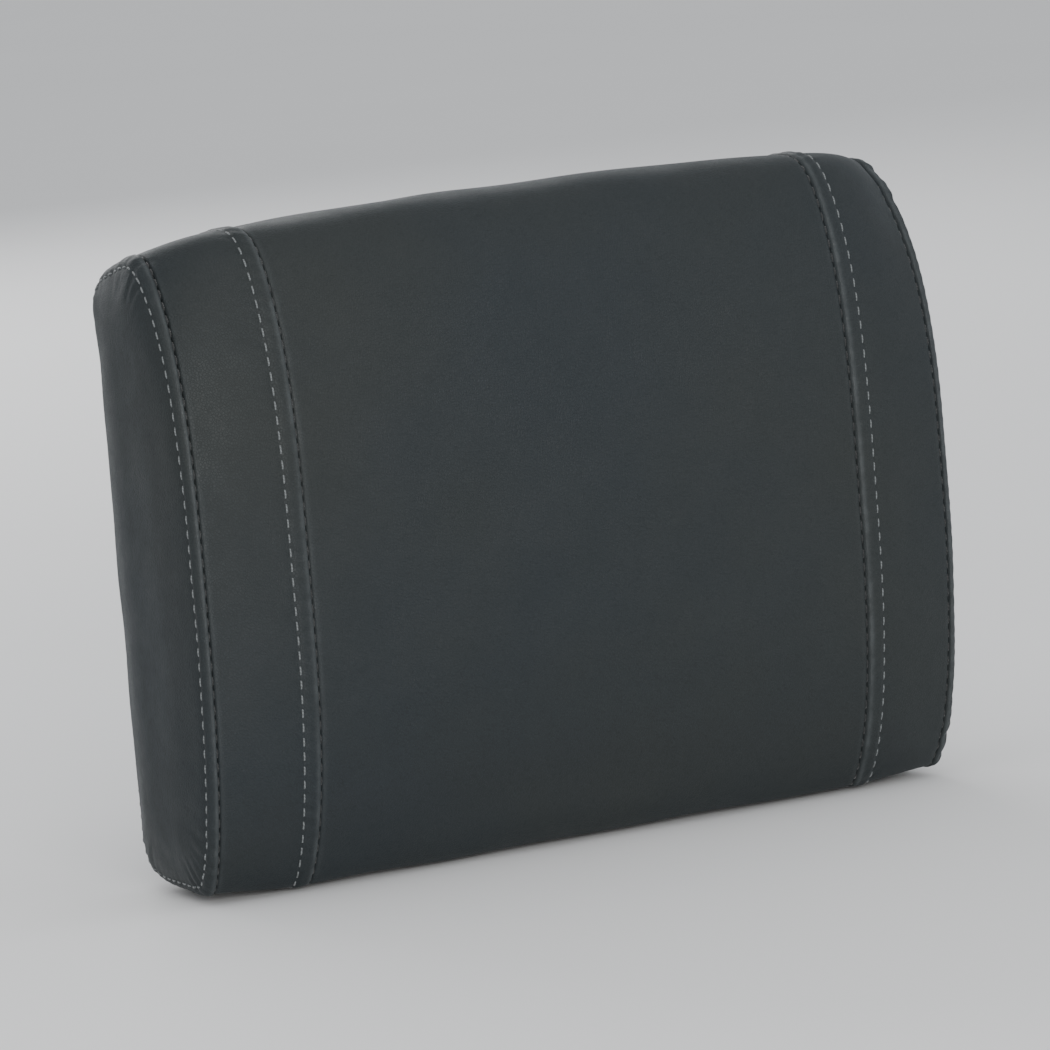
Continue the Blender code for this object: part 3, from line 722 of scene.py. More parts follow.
def make_woven(name, colour, rib, weft, roughness, depth=0.00022, stored=False):
    """Webbing or tape: ribs along it and weft threads that cross them in chevrons.

    The places come from the strap's own stored run and width, or from x and z.
    """
    material, tree, shader = new_material(name, roughness, Sheen_Weight=0.3, Sheen_Roughness=0.5)
    where = object_place(tree)
    if stored:
        run = add_node(tree, "Attribute", attribute_name="run").outputs["Fac"]
        width = add_node(tree, "Attribute", attribute_name="width").outputs["Fac"]
    else:
        parts = add_node(tree, "SeparateXYZ", Vector=where)
        run, width = parts.outputs["X"], parts.outputs["Z"]
    chevron = calculate(tree, "PINGPONG", calculate(tree, "ADD", width, 1.0), rib)
    phase = calculate(tree, "ADD", run, calculate(tree, "MULTIPLY", chevron, 0.8))
    threads = calculate(tree, "SINE", calculate(tree, "MULTIPLY", phase, 2 * math.pi / weft), 0.0)
    ribs = calculate(tree, "COSINE", calculate(tree, "MULTIPLY", width, math.pi / rib), 0.0)
    weave = ramp(tree, calculate(tree, "ADD", threads, calculate(tree, "MULTIPLY", ribs, 0.7)), -1.5, 1.5)
    fuzz = ramp(tree, noise(tree, where, 2200.0, 3.0), 0.3, 0.7, 0.75, 1.2)
    shade = calculate(tree, "MULTIPLY", ramp(tree, weave, 0, 1, 0.5, 1.35), fuzz)
    worn = ramp(tree, noise(tree, where, 60.0, 4.0), 0.4, 0.75)
    tint = mix_colour(tree, worn, colour, tuple(1.6 * c for c in colour))
    feed(shader, Base_Color=mix_colour(tree, 1.0, tint, shade, "MULTIPLY"))
    bump(tree, shader, weave, depth, 0.9)
    return material


def make_plastic(name, colour, roughness):
    """Moulded plastic with a spark-eroded surface and faint handling marks."""
    material, tree, shader = new_material(name, roughness)
    where = object_place(tree)
    marks = noise(tree, where, 55.0, 6.0, Roughness=0.7)
    tint = mix_colour(tree, ramp(tree, marks, 0.35, 0.7), colour, tuple(1.5 * c for c in colour))
    feed(shader, Base_Color=tint, Roughness=ramp(tree, marks, 0.3, 0.7, roughness - 0.06, roughness + 0.10))
    bump(tree, shader, noise(tree, where, 1800.0, 2.0), 0.00006, 0.7)
    return material


def make_metal():
    """Dark nickel plating with fine scratches, dulled in patches."""
    material, tree, shader = new_material("zip_metal", 0.3, Metallic=1.0)
    where = object_place(tree, (1, 1, 9))
    dull = noise(tree, where, 120.0, 3.0)
    colour = mix_colour(tree, ramp(tree, dull, 0.3, 0.7), (0.085, 0.087, 0.092), (0.17, 0.17, 0.18))
    feed(shader, Base_Color=colour, Roughness=ramp(tree, dull, 0.3, 0.7, 0.24, 0.42))
    bump(tree, shader, noise(tree, where, 900.0, 4.0), 0.00003, 0.5)
    return material


def make_foam(name, colour, pore, depth):
    material, tree, shader = new_material(name, 0.95)
    where = object_place(tree)
    pores = add_node(tree, "TexVoronoi", Vector=where, Scale=pore).outputs["Distance"]
    tone = noise(tree, where, 40.0, 5.0)
    dim = tuple(0.8 * c for c in colour)
    feed(shader, Base_Color=mix_colour(tree, ramp(tree, tone, 0.3, 0.7), dim, colour))
    bump(tree, shader, calculate(tree, "ADD", pores, tone), depth, 0.9)
    return material


LEATHER = make_leather()
LIGHT_THREAD = make_thread("topstitch_thread", (0.135, 0.149, 0.153))
# Near-black thread. In the seams' own rows it also stands in for the shade in the seam ditches, so its
# darkness there is partly painted shade.
DARK_THREAD_AND_SHADE = make_thread("seam_thread_and_shade", (0.010, 0.011, 0.012))
TAPE = make_woven("zip_tape", (0.016, 0.018, 0.020), 0.9 * MM, 1.1 * MM, 0.8, 0.00015)
WEBBING = make_woven("strap_webbing", (0.017, 0.018, 0.020), 1.5 * MM, 1.7 * MM, 0.75, stored=True)
NYLON = make_plastic("zip_nylon", (0.016, 0.017, 0.019), 0.38)
PLASTIC = make_plastic("buckle_plastic", (0.014, 0.015, 0.016), 0.46)
METAL = make_metal()
FOAM = make_foam("foam", (0.62, 0.58, 0.44), 900.0, 0.0005)
WADDING = make_foam("wadding", (0.82, 0.82, 0.80), 260.0, 0.0010)


# ---------------------------------------------------------------- the cover

def back_distance(z):
    """Distance round the cover at the height z of its back."""
    distances = np.linspace(STARTS[3], STARTS[4], 400)
    return float(np.interp(z, column(0, place(distances))[:, 2], distances))


def make_cover():
    row = 1.15 * MM
    front_s, front_depth = samples(STARTS[0], STARTS[3], row, row, 10 * MM)
    us, depth = samples(-INNER, INNER, 0.75 * MM, 4.2 * MM, 14 * MM)
    cover_panel("cover_front_center", us, depth, front_s, front_depth, "front_center_panel")
    ring_s = np.linspace(0, ROUND_LENGTH, int(ROUND_LENGTH / row), endpoint=False)
    flat = np.zeros_like(ring_s)
    band_us, band_depth = samples(INNER, OUTER, 0.75 * MM, 1.6 * MM, 12 * MM)
    end_us, end_depth = samples(OUTER, OUTER + END_REACH, 0.75 * MM, 2.0 * MM, 14 * MM, ("seam", None))
    for side, way in (("right", 1), ("left", -1)):
        us, depth = way * band_us[::way], band_depth[::way]
        cover_panel(f"cover_band_{side}", us, depth, front_s, front_depth, f"face_band_{side}")
    for side, way in (("right", 1), ("left", -1)):
        us, depth = way * end_us[::way], end_depth[::way]
        piece = cover_panel(f"cover_end_{side}", us, depth, ring_s, flat, f"end_panel_{side}", closed=True)
        close_end(piece.data, way > 0, len(us), len(ring_s))
    us, depth = samples(-OUTER, OUTER, 0.8 * MM, 3.4 * MM, 16 * MM)
    for level, low, high, edges in (
        ("lower", STARTS[3], back_distance(ZIP_LOW), ("seam", "hem")),
        ("upper", back_distance(ZIP_HIGH), STARTS[4], ("hem", "seam")),
    ):
        distances, depths = samples(low, high, 0.8 * MM, 2.0 * MM, 12 * MM, edges)
        cover_panel(f"cover_back_{level}", us, depth, distances, depths, f"back_panel_{level}")


def close_end(mesh, last, columns, rows):
    """Fills the hole in an end panel's middle, its first or last ring, and joins points that coincide."""
    start = (columns - 1) * rows if last else 0
    with edited(mesh) as bm:
        bm.faces.new([bm.verts[start + k] for k in range(rows)])
        bmesh.ops.remove_doubles(bm, verts=bm.verts, dist=0.2 * MM)
        bmesh.ops.triangulate(bm, faces=[face for face in bm.faces if len(face.verts) > 4])
        bmesh.ops.recalc_face_normals(bm, faces=bm.faces)
    smoothed(mesh)


# ---------------------------------------------------------------- stitching

def stitches(name, centres, normals, radius, material, body="cushion"):
    """A row of stitches, one tube each.

    centres has a row of points for each stitch, and so has normals, or it is one for all.
    """
    count, steps = centres.shape[:2]
    sides = 6
    along_it = unit(np.gradient(centres, axis=1))
    across = unit(np.cross(along_it, np.broadcast_to(normals, centres.shape)))
    up = np.cross(across, along_it)
    arch = np.sin(np.pi * np.linspace(0, 1, steps)) ** 0.35
    middle = centres + up * (radius * (2.2 * arch - 1.7))[None, :, None]
    width = radius * (0.72 + 0.28 * arch)
    angles = (2 * np.pi * np.arange(sides) / sides)[:, None]
    ring = across[:, :, None] * np.cos(angles) + up[:, :, None] * np.sin(angles) * 0.85
    points = middle[:, :, None, :] + ring * width[None, :, None, None]
    index = np.arange(count * steps * sides).reshape(count, steps, sides)
    turned = np.roll(index, -1, axis=2)
    quads = np.stack([index[:, :-1], turned[:, :-1], turned[:, 1:], index[:, 1:]], axis=-1).reshape(-1, 4)
    ends = np.concatenate([index[:, 0, ::-1], index[:, -1]])
    mesh = bpy.data.meshes.new(name)
    mesh.from_pydata(points.reshape(-1, 3).tolist(), [], quads.tolist() + ends.tolist())
    return add_piece(name, smoothed(mesh), material, body)


def stitch_spans(start, end, pitch, length, steps=8, seed=1):
    """Distances along a row, one line of points for each stitch, slightly uneven as sewn."""
    count = int((end - start) / pitch)
    rng = np.random.default_rng(seed)
    first = start + pitch * (np.arange(count) + 0.5) - length / 2 + rng.normal(0, 0.10 * MM, count)
    return first[:, None] + np.linspace(0, 1, steps)[None, :] * length


def cover_row(name, u, start, end, material, radius, depth, seed):
    """A row of stitches round the cover at u."""
    spans = stitch_spans(start, end, PITCH, STITCH, seed=seed)
    points, normals = cover_points([u], place(np.mod(spans.ravel(), ROUND_LENGTH)), depth)
    shape = (*spans.shape, 3)
    stitches(name, points[0].reshape(shape), normals[0].reshape(shape), radius, material)


def make_stitching():
    margin = 3 * MM
    for side, sign in (("left", -1), ("right", 1)):
        shift = 0.35 * PITCH * (sign > 0)
        for seam, u, start, end, seed in (
            ("inner", INNER, margin + shift, STARTS[3] - margin, 31),
            ("end", OUTER, shift, ROUND_LENGTH + shift, 51),
        ):
            top, sewn = f"topstitch_{seam}_{side}", f"seam_stitch_{seam}_{side}"
            cover_row(top, sign * (u + ROW), start, end, LIGHT_THREAD, THREAD, 0.0, seed + sign)
            # The seam rows' near-black thread is partly painted shade for the ditch where the panels meet.
            cover_row(sewn, sign * u, start, end, DARK_THREAD_AND_SHADE, THREAD * 1.1, SEAM_SINK, seed + 10 + sign)


# ---------------------------------------------------------------- studio

VIEW_AZIMUTH, VIEW_ELEVATION, VIEW_ROLL = (math.radians(a) for a in (-28.9, 7.8, -4.7))
VIEW_DISTANCE = 2.92
VIEW_TARGET = Vector((-0.0045, -0.0025, 0.1205))
LENS = 262


def make_camera():
    data = bpy.data.cameras.new("camera")
    data.lens = LENS
    data.clip_end = 100
    camera = bpy.data.objects.new("camera", data)
    bpy.context.scene.collection.objects.link(camera)
    azimuth, elevation, roll = VIEW_AZIMUTH, VIEW_ELEVATION, VIEW_ROLL
    back = Vector((math.sin(azimuth) * math.cos(elevation), -math.cos(azimuth) * math.cos(elevation),
                   math.sin(elevation)))
    level = Vector((math.cos(azimuth), math.sin(azimuth), 0))
    upright = back.cross(level)
    right = level * math.cos(roll) + upright * math.sin(roll)
    up = upright * math.cos(roll) - level * math.sin(roll)
    turn = Matrix((right, up, back)).transposed().to_4x4()
    camera.matrix_world = Matrix.Translation(VIEW_TARGET + back * VIEW_DISTANCE) @ turn
    bpy.context.scene.camera = camera


def area_light(name, where, aim, size, power, colour=(1, 1, 1)):
    data = bpy.data.lights.new(name, "AREA")
    data.shape = "RECTANGLE"
    data.size, data.size_y = size
    data.energy = power
    data.color = colour
    light = bpy.data.objects.new(name, data)
    light.location = where
    light.visible_camera = False
    light.rotation_euler = (Vector(aim) - Vector(where)).to_track_quat("-Z", "Y").to_euler()
    bpy.context.scene.collection.objects.link(light)


def make_studio():
    bm = bmesh.new()
    bmesh.ops.create_grid(bm, x_segments=4, y_segments=4, size=40)
    mesh = bpy.data.meshes.new("studio_floor")
    bm.to_mesh(mesh)
    bm.free()
    floor = bpy.data.objects.new("studio_floor", mesh)
    floor.location.z = -0.4 * MM
    bpy.context.scene.collection.objects.link(floor)
    paint, tree, shader = new_material("floor_paint", 0.75)
    shade = add_node(tree, "TexNoise", Vector=object_place(tree), Scale=3.0).outputs["Fac"]
    feed(shader, Base_Color=mix_colour(tree, shade, (0.80, 0.80, 0.80), (0.83, 0.83, 0.83)))
    mesh.materials.append(paint)
    world = bpy.data.worlds.new("studio")
    world.use_nodes = True
    world.node_tree.nodes["Background"].inputs["Color"].default_value = (0.95, 0.97, 1.0, 1)
    world.node_tree.nodes["Background"].inputs["Strength"].default_value = 0.75
    bpy.context.scene.world = world
    centre = (0, 0, HEIGHT / 2)
    area_light("key", (-0.8, -2.3, 0.55), centre, (1.2, 1.0), 50, (1.0, 0.99, 0.97))
    area_light("top", (-0.2, -0.6, 2.4), centre, (2.2, 1.6), 10)
    area_light("fill", (2.2, -0.8, 0.9), centre, (1.2, 1.6), 5, (0.92, 0.96, 1.0))
    area_light("rear", (0.2, 2.3, 1.1), centre, (1.6, 1.2), 22)



# ---------------------------------------------------------------- filling

def squeezed(points, y_range, z_range, x_scale=1.0):
    """The form's points drawn in to a smaller depth and height, for what lies inside the cover."""
    out = points.copy()
    out[..., 0] *= x_scale
    out[..., 1] = np.interp(points[..., 1], (Y_FRONT, Y_BACK), y_range)
    out[..., 2] = np.interp(points[..., 2], (0, HEIGHT + CENTRE_CROWN), z_range)
    return out


def make_filling():
    foam_low, foam_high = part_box("foam_core")
    us = np.concatenate([np.linspace(-OUTER, OUTER, 60), OUTER + np.linspace(2 * MM, END_REACH - 1 * MM, 14)])
    us = np.unique(np.concatenate([us, -us]))
    distances = np.linspace(0, ROUND_LENGTH, 150, endpoint=False)
    points, normals = form(us, place(distances))
    points = squeezed(points, (foam_low.y, foam_high.y), (foam_low.z, foam_high.z), foam_high.x / END_HIGH.x)
    points += normals * (0.5 * MM * SLOW[0](us * 1.7)[:, None] * SLOW[1](distances * 1.3)[None, :])[..., None]
    mesh = grid_mesh("foam_core_block", points, closed=True)
    close_end(mesh, True, len(us), len(distances))
    close_end(mesh, False, len(us), len(distances))
    foam = add_piece("foam_core_block", mesh, FOAM, "cushion", ["foam_core"])

    wadding_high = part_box("wadding_wrap")[1]
    reach = INNER + BAND * (wadding_high.x - INNER) / (SEAM_X - INNER)
    us = np.linspace(-reach, reach, 90)
    points, normals = form(us, place(distances))
    margin = 4.4 * MM
    outer = squeezed(points, (Y_FRONT + margin, wadding_high.y), (margin, HEIGHT - margin))
    inner = squeezed(points, (foam_low.y - GAP, foam_high.y + GAP), (foam_low.z - GAP, foam_high.z + GAP))
    lumps = 0.45 * MM * SLOW[2](us * 2.3)[:, None] * GATHER[0](distances * 0.5)[None, :]
    outer += normals * lumps[..., None]
    ring = np.concatenate([inner[:1], outer, inner[::-1]])
    mesh = grid_mesh("wadding_sleeve", ring, closed=True)
    with edited(mesh) as bm:
        bmesh.ops.remove_doubles(bm, verts=bm.verts, dist=0.001 * MM)
    sleeve = add_piece("wadding_sleeve", mesh, WADDING, "cushion", ["wadding_wrap"])


# ---------------------------------------------------------------- hard pieces: helpers

def taken(obj):
    """The mesh of an object with its modifiers, and the object is removed."""
    mesh = bpy.data.meshes.new_from_object(obj.evaluated_get(bpy.context.evaluated_depsgraph_get()))
    bpy.data.objects.remove(obj, do_unlink=True)
    return mesh


def filleted(corners, radius, steps=5):
    """An outline with rounded corners."""
    points = []
    for k, corner in enumerate(corners):
        here = np.array(corner, float)
        back, ahead = np.array(corners[k - 1]) - here, np.array(corners[(k + 1) % len(corners)]) - here
        size_back, size_ahead = np.linalg.norm(back), np.linalg.norm(ahead)
        cosine = np.clip(back @ ahead / (size_back * size_ahead), -1, 1)
        cut = min(radius / math.tan(math.acos(cosine) / 2), 0.48 * min(size_back, size_ahead))
        start, stop = here + back / size_back * cut, here + ahead / size_ahead * cut
        for t in np.linspace(0, 1, steps + 1):
            points.append(tuple((1 - t) ** 2 * start + 2 * t * (1 - t) * here + t ** 2 * stop))
    return points


def mirrored(half, radius, middle):
    """A filleted outline in x and z from its upper half, whose heights are over the middle."""
    lower = [(x, -z) for x, z in reversed(half) if z]
    return [(x, middle + z) for x, z in filleted(half + lower, radius)]


def plate(name, outlines, thickness, edge, y=0.0):
    """A flat plate across y with rounded edges, from outlines in x and z: its rim first, then its holes."""
    curve = bpy.data.curves.new(name, "CURVE")
    curve.dimensions = "2D"
    curve.fill_mode = "BOTH"
    curve.extrude = thickness / 2 - edge
    curve.bevel_depth = edge
    curve.bevel_resolution = 2
    curve.offset = -edge
    for outline in outlines:
        spline = curve.splines.new("POLY")
        spline.points.add(len(outline) - 1)
        for point, (x, z) in zip(spline.points, outline):
            point.co = (x, z, 0, 1)
        spline.use_cyclic_u = True
    mesh = taken(holder(name, curve))
    mesh.transform(Matrix.Translation((0, y, 0)) @ Matrix.Rotation(math.pi / 2, 4, "X"))
    return tidied(mesh)


def tidied(mesh):
    with edited(mesh) as bm:
        bmesh.ops.remove_doubles(bm, verts=bm.verts, dist=0.002 * MM)
        bmesh.ops.dissolve_degenerate(bm, edges=bm.edges, dist=0.001 * MM)
        bmesh.ops.recalc_face_normals(bm, faces=bm.faces)
    return mesh


def block(low, high, edge, segments=3):
    """A box with rounded edges."""
    low, high = Vector(low), Vector(high)
    mesh = bpy.data.meshes.new("block")
    with edited(mesh) as bm:
        bmesh.ops.create_cube(bm, size=1.0)
        place_it = Matrix.Translation((low + high) / 2) @ Matrix.Diagonal((*(high - low), 1.0))
        bmesh.ops.transform(bm, matrix=place_it, verts=bm.verts)
        if edge:
            bmesh.ops.bevel(bm, geom=bm.edges[:], offset=edge, segments=segments, profile=0.5, affect="EDGES")
    return mesh


def centred(centre, halves, edge, segments=2):
    """A box with rounded edges from its centre and half its sizes."""
    centre, halves = Vector(centre), Vector(halves)
    return block(centre - halves, centre + halves, edge, segments)


def combined(mesh, others, operation):
    obj = holder("base", mesh)
    helpers = [holder("other", other) for other in others]
    for other in helpers:
        step = obj.modifiers.new("step", "BOOLEAN")
        step.operation = operation
        step.object = other
        step.solver = "EXACT"
    made = taken(obj)
    for other in helpers:
        bpy.data.objects.remove(other, do_unlink=True)
    return made


def softened(mesh, width, segments=2, angle=35):
    """Rounds the edges that a cut or a join left sharp, and keeps the large faces flat in the shading."""
    obj = holder("base", tidied(mesh))
    obj.data.shade_smooth()
    edge = obj.modifiers.new("edge", "BEVEL")
    edge.width = width
    edge.segments = segments
    edge.limit_method = "ANGLE"
    edge.angle_limit = math.radians(angle)
    shading = obj.modifiers.new("shading", "WEIGHTED_NORMAL")
    shading.weight = 80
    return taken(obj)


def joined(meshes):
    made = bpy.data.meshes.new("joined")
    with edited(made) as bm:
        for mesh in meshes:
            bm.from_mesh(mesh)
    return smoothed(made, 48)


def sweep(name, path, side, ring, sharp=None):
    """A mesh swept along a path. side is across the path and its up, and ring holds (across, up) points."""
    path, side, ring = np.array(path, float), np.array(side, float), np.array(ring)
    side = np.broadcast_to(side, path.shape)
    up = unit(np.cross(side, unit(np.gradient(path, axis=0))))
    points = path[:, None] + side[:, None] * ring[None, :, :1] + up[:, None] * ring[None, :, 1:]
    return grid_mesh(name, points, closed=True, capped=True, sharp=sharp)


# ---------------------------------------------------------------- zip

def make_tape(level):
    low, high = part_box(f"zip_tape_{level}")
    xs = np.linspace(low.x, high.x, 301)
    edge = 0.5 * MM
    zs = np.linspace(low.z, high.z, 21)
    ripple = Wander(70 + (level == "upper"), 70 * MM, 16 * MM, 6)(xs) * 0.10 * MM
    middle, half = (low.y + high.y) / 2, (high.y - low.y) / 2
    rounded = half * np.clip(np.minimum(zs - low.z, high.z - zs) / edge + 0.35, 0.35, 1)
    ring_z = np.concatenate([zs, zs[::-1]])
    ring_y = np.concatenate([rounded, -rounded[::-1]])
    ys = middle + ring_y + ripple[:, None] * np.abs(ring_z - ZIP_MIDDLE) / (14 * MM)
    mesh = grid_mesh(f"zip_tape_{level}_woven", spread(xs[:, None], ys, ring_z), closed=True, capped=True)
    add_piece(f"zip_tape_{level}_woven", mesh, TAPE, "cushion", [f"zip_tape_{level}"])


def make_coil(level, way, shift):
    low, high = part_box(f"zip_coil_{level}")
    wire, pitch, steps = 0.34 * MM, 1.4 * MM, 14
    turns = int((high.x - low.x - 2 * wire) / pitch)
    start = (low.x + high.x - turns * pitch) / 2
    angle = np.linspace(0, 2 * np.pi * turns, turns * steps + 1) + shift
    half_z, half_y = (high.z - low.z) / 2 - wire, (high.y - low.y) / 2 - wire
    run = start + pitch * (angle - shift) / (2 * np.pi)
    z = (low.z + high.z) / 2 - way * half_z * np.cos(angle)
    y = (low.y + high.y) / 2 + half_y * np.sin(angle)
    path = spread(run, y, z)
    side = unit(np.cross(unit(np.gradient(path, axis=0)), (1.0, 0.0, 0.0)))
    turn = 2 * np.pi * np.arange(7) / 7
    ring = np.stack([wire * np.cos(turn), wire * np.sin(turn)], axis=-1)
    mesh = sweep(f"zip_coil_{level}_helix", path, side, ring)
    add_piece(f"zip_coil_{level}_helix", mesh, NYLON, "cushion", [f"zip_coil_{level}"])


def make_stops():
    for node in ("zip_top_stop_upper", "zip_top_stop_lower", "zip_bottom_stop"):
        low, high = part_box(node)
        waist = (low.x + high.x) / 2
        shell = block(low, high, 0.45 * MM, 4)
        groove = block(
            (waist - 0.35 * MM, high.y - 0.25 * MM, low.z - 1 * MM),
            (waist + 0.35 * MM, high.y + 1 * MM, high.z + 1 * MM),
            0.15 * MM,
        )
        mesh = softened(combined(shell, [groove], "DIFFERENCE"), 0.08 * MM)
        add_piece(f"{node}_crimped", mesh, METAL, "cushion", [node])


def make_slider():
    low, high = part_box("zip_slider")
    x_low, x_high, middle = low.x, high.x, (low.z + high.z) / 2
    x = (x_low + x_high) / 2
    edge = (high.z - low.z) / 2
    tape_low, tape_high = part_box("zip_tape_upper")
    plate_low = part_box("zip_coil_upper")[1].y + GAP
    plate_thick = 1.2 * MM
    inner_high = tape_low.y - GAP

    def outline(shrink):
        tail, lead = edge - 1.2 * MM - shrink, edge - shrink
        return mirrored([
            (x_low + shrink, tail - 0.6 * MM), (x_low + 3.5 * MM, tail + 0.4 * MM), (x_high - 4.5 * MM, lead),
            (x_high - 1.2 * MM, lead - 0.1 * MM), (x_high - shrink, lead - 1.6 * MM),
            (x_high - 1.1 * MM - shrink, 0),
        ], 0.8 * MM, middle)

    outer = plate("slider_outer", [outline(0)], plate_thick, 0.35 * MM, plate_low + plate_thick / 2)
    raised = plate("slider_raised", [outline(1.3 * MM)], 0.5 * MM, 0.2 * MM, plate_low + plate_thick)
    inner = plate("slider_inner", [outline(0.1 * MM)], plate_thick, 0.3 * MM, inner_high - plate_thick / 2)
    neck = block(
        (x + 0.5 * MM, inner_high - 0.6 * MM, middle - 0.5 * MM),
        (x_high - 1.4 * MM, plate_low + 0.6 * MM, middle + 0.5 * MM),
        0.2 * MM,
    )
    flanges = []
    for way in (1, -1):
        z = sorted((way * (edge - 1.0 * MM), way * edge))
        flanges.append(block(
            (x_high - 8.0 * MM, tape_high.y + 0.4 * MM, middle + z[0]),
            (x_high - 1.0 * MM, plate_low + 0.6 * MM, middle + z[1]),
            0.3 * MM,
        ))
    base = plate_low + plate_thick - 0.4 * MM
    peak = high.y - 0.6 * MM
    leg, bend = 3.4 * MM, 1.6 * MM
    route = [(x - leg, base, middle), (x - leg, peak - bend, middle)]
    for turn in np.linspace(0, np.pi / 2, 7)[1:]:
        route.append((x - leg + bend * (1 - math.cos(turn)), peak - bend * (1 - math.sin(turn)), middle))
    route += [(2 * x - px, py, pz) for px, py, pz in reversed(route)]
    wide, thin = 1.2 * MM, 0.6 * MM
    ring = filleted([(-wide, -thin), (wide, -thin), (wide, thin), (-wide, thin)], 0.35 * MM, 3)
    bail = sweep("slider_bail", route, (0, 0, 1), ring, 48)
    mesh = joined([outer, raised, inner, neck, bail, *flanges])
    add_piece("zip_slider_body", mesh, METAL, "zip_slider", ["zip_slider"])


def make_pull_tab():
    low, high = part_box("zip_pull_tab")
    middle, y = (low.z + high.z) / 2, (low.y + high.y) / 2
    end, half, thick = high.x, (high.z - low.z) / 2, high.y - low.y
    neck = half - 1.3 * MM
    rim = mirrored([
        (end, neck), (end - 8.4 * MM, neck), (end - 11.5 * MM, half - 0.3 * MM), (low.x + 3.2 * MM, half),
        (low.x, half - 3.0 * MM),
    ], 1.2 * MM, middle)
    eye = mirrored([(end - 1.4 * MM, 1.6 * MM), (end - 7.6 * MM, 1.6 * MM)], 0.5 * MM, middle)
    hole = [
        (low.x + 4.0 * MM + 1.2 * MM * math.cos(t), middle + 1.2 * MM * math.sin(t))
        for t in np.linspace(0, 2 * np.pi, 20, endpoint=False)
    ]
    body = plate("pull_plate", [rim, eye, hole], thick - 0.5 * MM, 0.3 * MM, y)
    size = (0.55 * MM, thick / 2, half - 1.0 * MM)
    ridges = [centred((end - 12.8 * MM - 2.0 * MM * k, y, middle), size, 0.3 * MM, 3) for k in range(4)]
    mesh = joined([body, *ridges])
    add_piece("zip_pull_tab_plate", mesh, METAL, "zip_pull", ["zip_pull_tab"])


def make_zip_guard():
    """A strip of lining behind the zip, which keeps the coils off the wadding."""
    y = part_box("wadding_wrap")[1].y + 1.0 * MM
    us = np.linspace(-seam_x(y) + 2 * MM, seam_x(y) - 2 * MM, 241)
    half, thin = 13 * MM, 0.18 * MM
    zs = np.linspace(-half, half, 31)
    ripple = 0.35 * MM * SLOW[0](us * 3)[:, None] * np.cos(np.pi * zs / (2 * half))[None]
    ys = y + np.concatenate([ripple + thin, ripple[:, ::-1] - thin], axis=1)
    points = spread(us[:, None], ys, ZIP_MIDDLE + np.concatenate([zs, zs[::-1]]))
    mesh = grid_mesh("zip_guard", points, closed=True, capped=True, sharp=60)
    add_piece("zip_guard", mesh, TAPE, "cushion")


def make_zip_patches():
    """A folded scrap of leather over each end of the zip's tapes, its far edge caught in the end seam."""
    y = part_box("zip_tape_upper")[1].y + 0.15 * MM
    half = (ZIP_HIGH - ZIP_LOW) / 2 + 2.5 * MM
    seam = seam_x(y)
    near, far = seam - 8.0 * MM, seam + 0.6 * MM
    for side, way in (("right", 1), ("left", -1)):
        rim = filleted([(near, -half), (far, -half), (far, half), (near, half)], 0.8 * MM)
        outline = [(way * px, ZIP_MIDDLE + pz) for px, pz in rim]
        mesh = plate(f"zip_patch_{side}", [outline], 0.7 * MM, 0.3 * MM, y + 0.35 * MM)
        with edited(mesh) as bm:
            bmesh.ops.triangulate(bm, faces=[face for face in bm.faces if len(face.verts) > 4])
        add_piece(f"zip_patch_{side}", smoothed(mesh, 48), LEATHER, "cushion")
        span = stitch_spans(ZIP_MIDDLE - 6.4 * MM, ZIP_MIDDLE + 6.4 * MM, 2.1 * MM, 1.7 * MM, 5, 88)
        rows = [spread(way * (seam - run), y + 0.7 * MM, span) for run in (6.6 * MM, 5.4 * MM)]
        stitches(f"zip_patch_sewing_{side}", np.concatenate(rows), (0, 1, 0), 0.24 * MM, LIGHT_THREAD)


def make_zip():
    for level, way, shift in (("upper", 1, 0.0), ("lower", -1, np.pi)):
        make_tape(level)
        make_coil(level, way, shift)
        low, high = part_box(f"zip_tape_{level}")
        z = (low.z if way > 0 else high.z) + way * 3.5 * MM
        spans = stitch_spans(low.x + 9 * MM, high.x - 9 * MM, 2.8 * MM, 2.0 * MM, 5, 80 + way)
        centres = spread(spans, high.y, z)
        stitches(f"zip_coil_sewing_{level}", centres, (0, 1, 0), 0.16 * MM, DARK_THREAD_AND_SHADE)
    make_stops()
    make_zip_guard()
    make_zip_patches()
    make_slider()
    make_pull_tab()


# ---------------------------------------------------------------- straps

def strap_route(node):
    """Stations (x, y) along a strap half on the +X side, and where its loop closes."""
    low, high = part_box(node)
    strap_y = (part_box("buckle_socket")[0].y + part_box("buckle_socket")[1].y) / 2
    left = node == "strap_left"
    near = low.x if not left else -high.x
    thick, layer, bend = 1.5 * MM, 0.95 * MM, 9 * MM
    loop = 2.65 * MM
    root = seam_x(Y_BACK) + thick / 2
    turn_x = near + loop + thick / 2
    close_x = turn_x + 22 * MM
    tail = 30 * MM if left else 62 * MM
    points = [(root, y) for y in np.linspace(Y_BACK - 2.2 * MM, strap_y - layer - bend, 8)[:-1]]
    for turn in np.linspace(0, np.pi / 2, 16):
        points.append((root - bend * (1 - math.cos(turn)), strap_y - layer - bend * (1 - math.sin(turn))))
    for x in np.linspace(root - bend, close_x, 60)[1:]:
        points.append((x, strap_y - layer))
    for x in np.linspace(close_x, turn_x, 16)[1:-1]:
        points.append((x, strap_y - lerp(layer, loop, (close_x - x) / (close_x - turn_x))))
    for turn in np.linspace(0, np.pi, 22):
        points.append((turn_x - loop * math.sin(turn), strap_y - loop * math.cos(turn)))
    for x in np.linspace(turn_x, close_x, 16)[1:]:
        points.append((x, strap_y + lerp(layer, loop, (close_x - x) / (close_x - turn_x))))
    for x in np.linspace(close_x, close_x + tail, int(tail / (1.4 * MM)))[1:]:
        points.append((x, strap_y + layer))
    return np.array(points), close_x, close_x + tail, strap_y


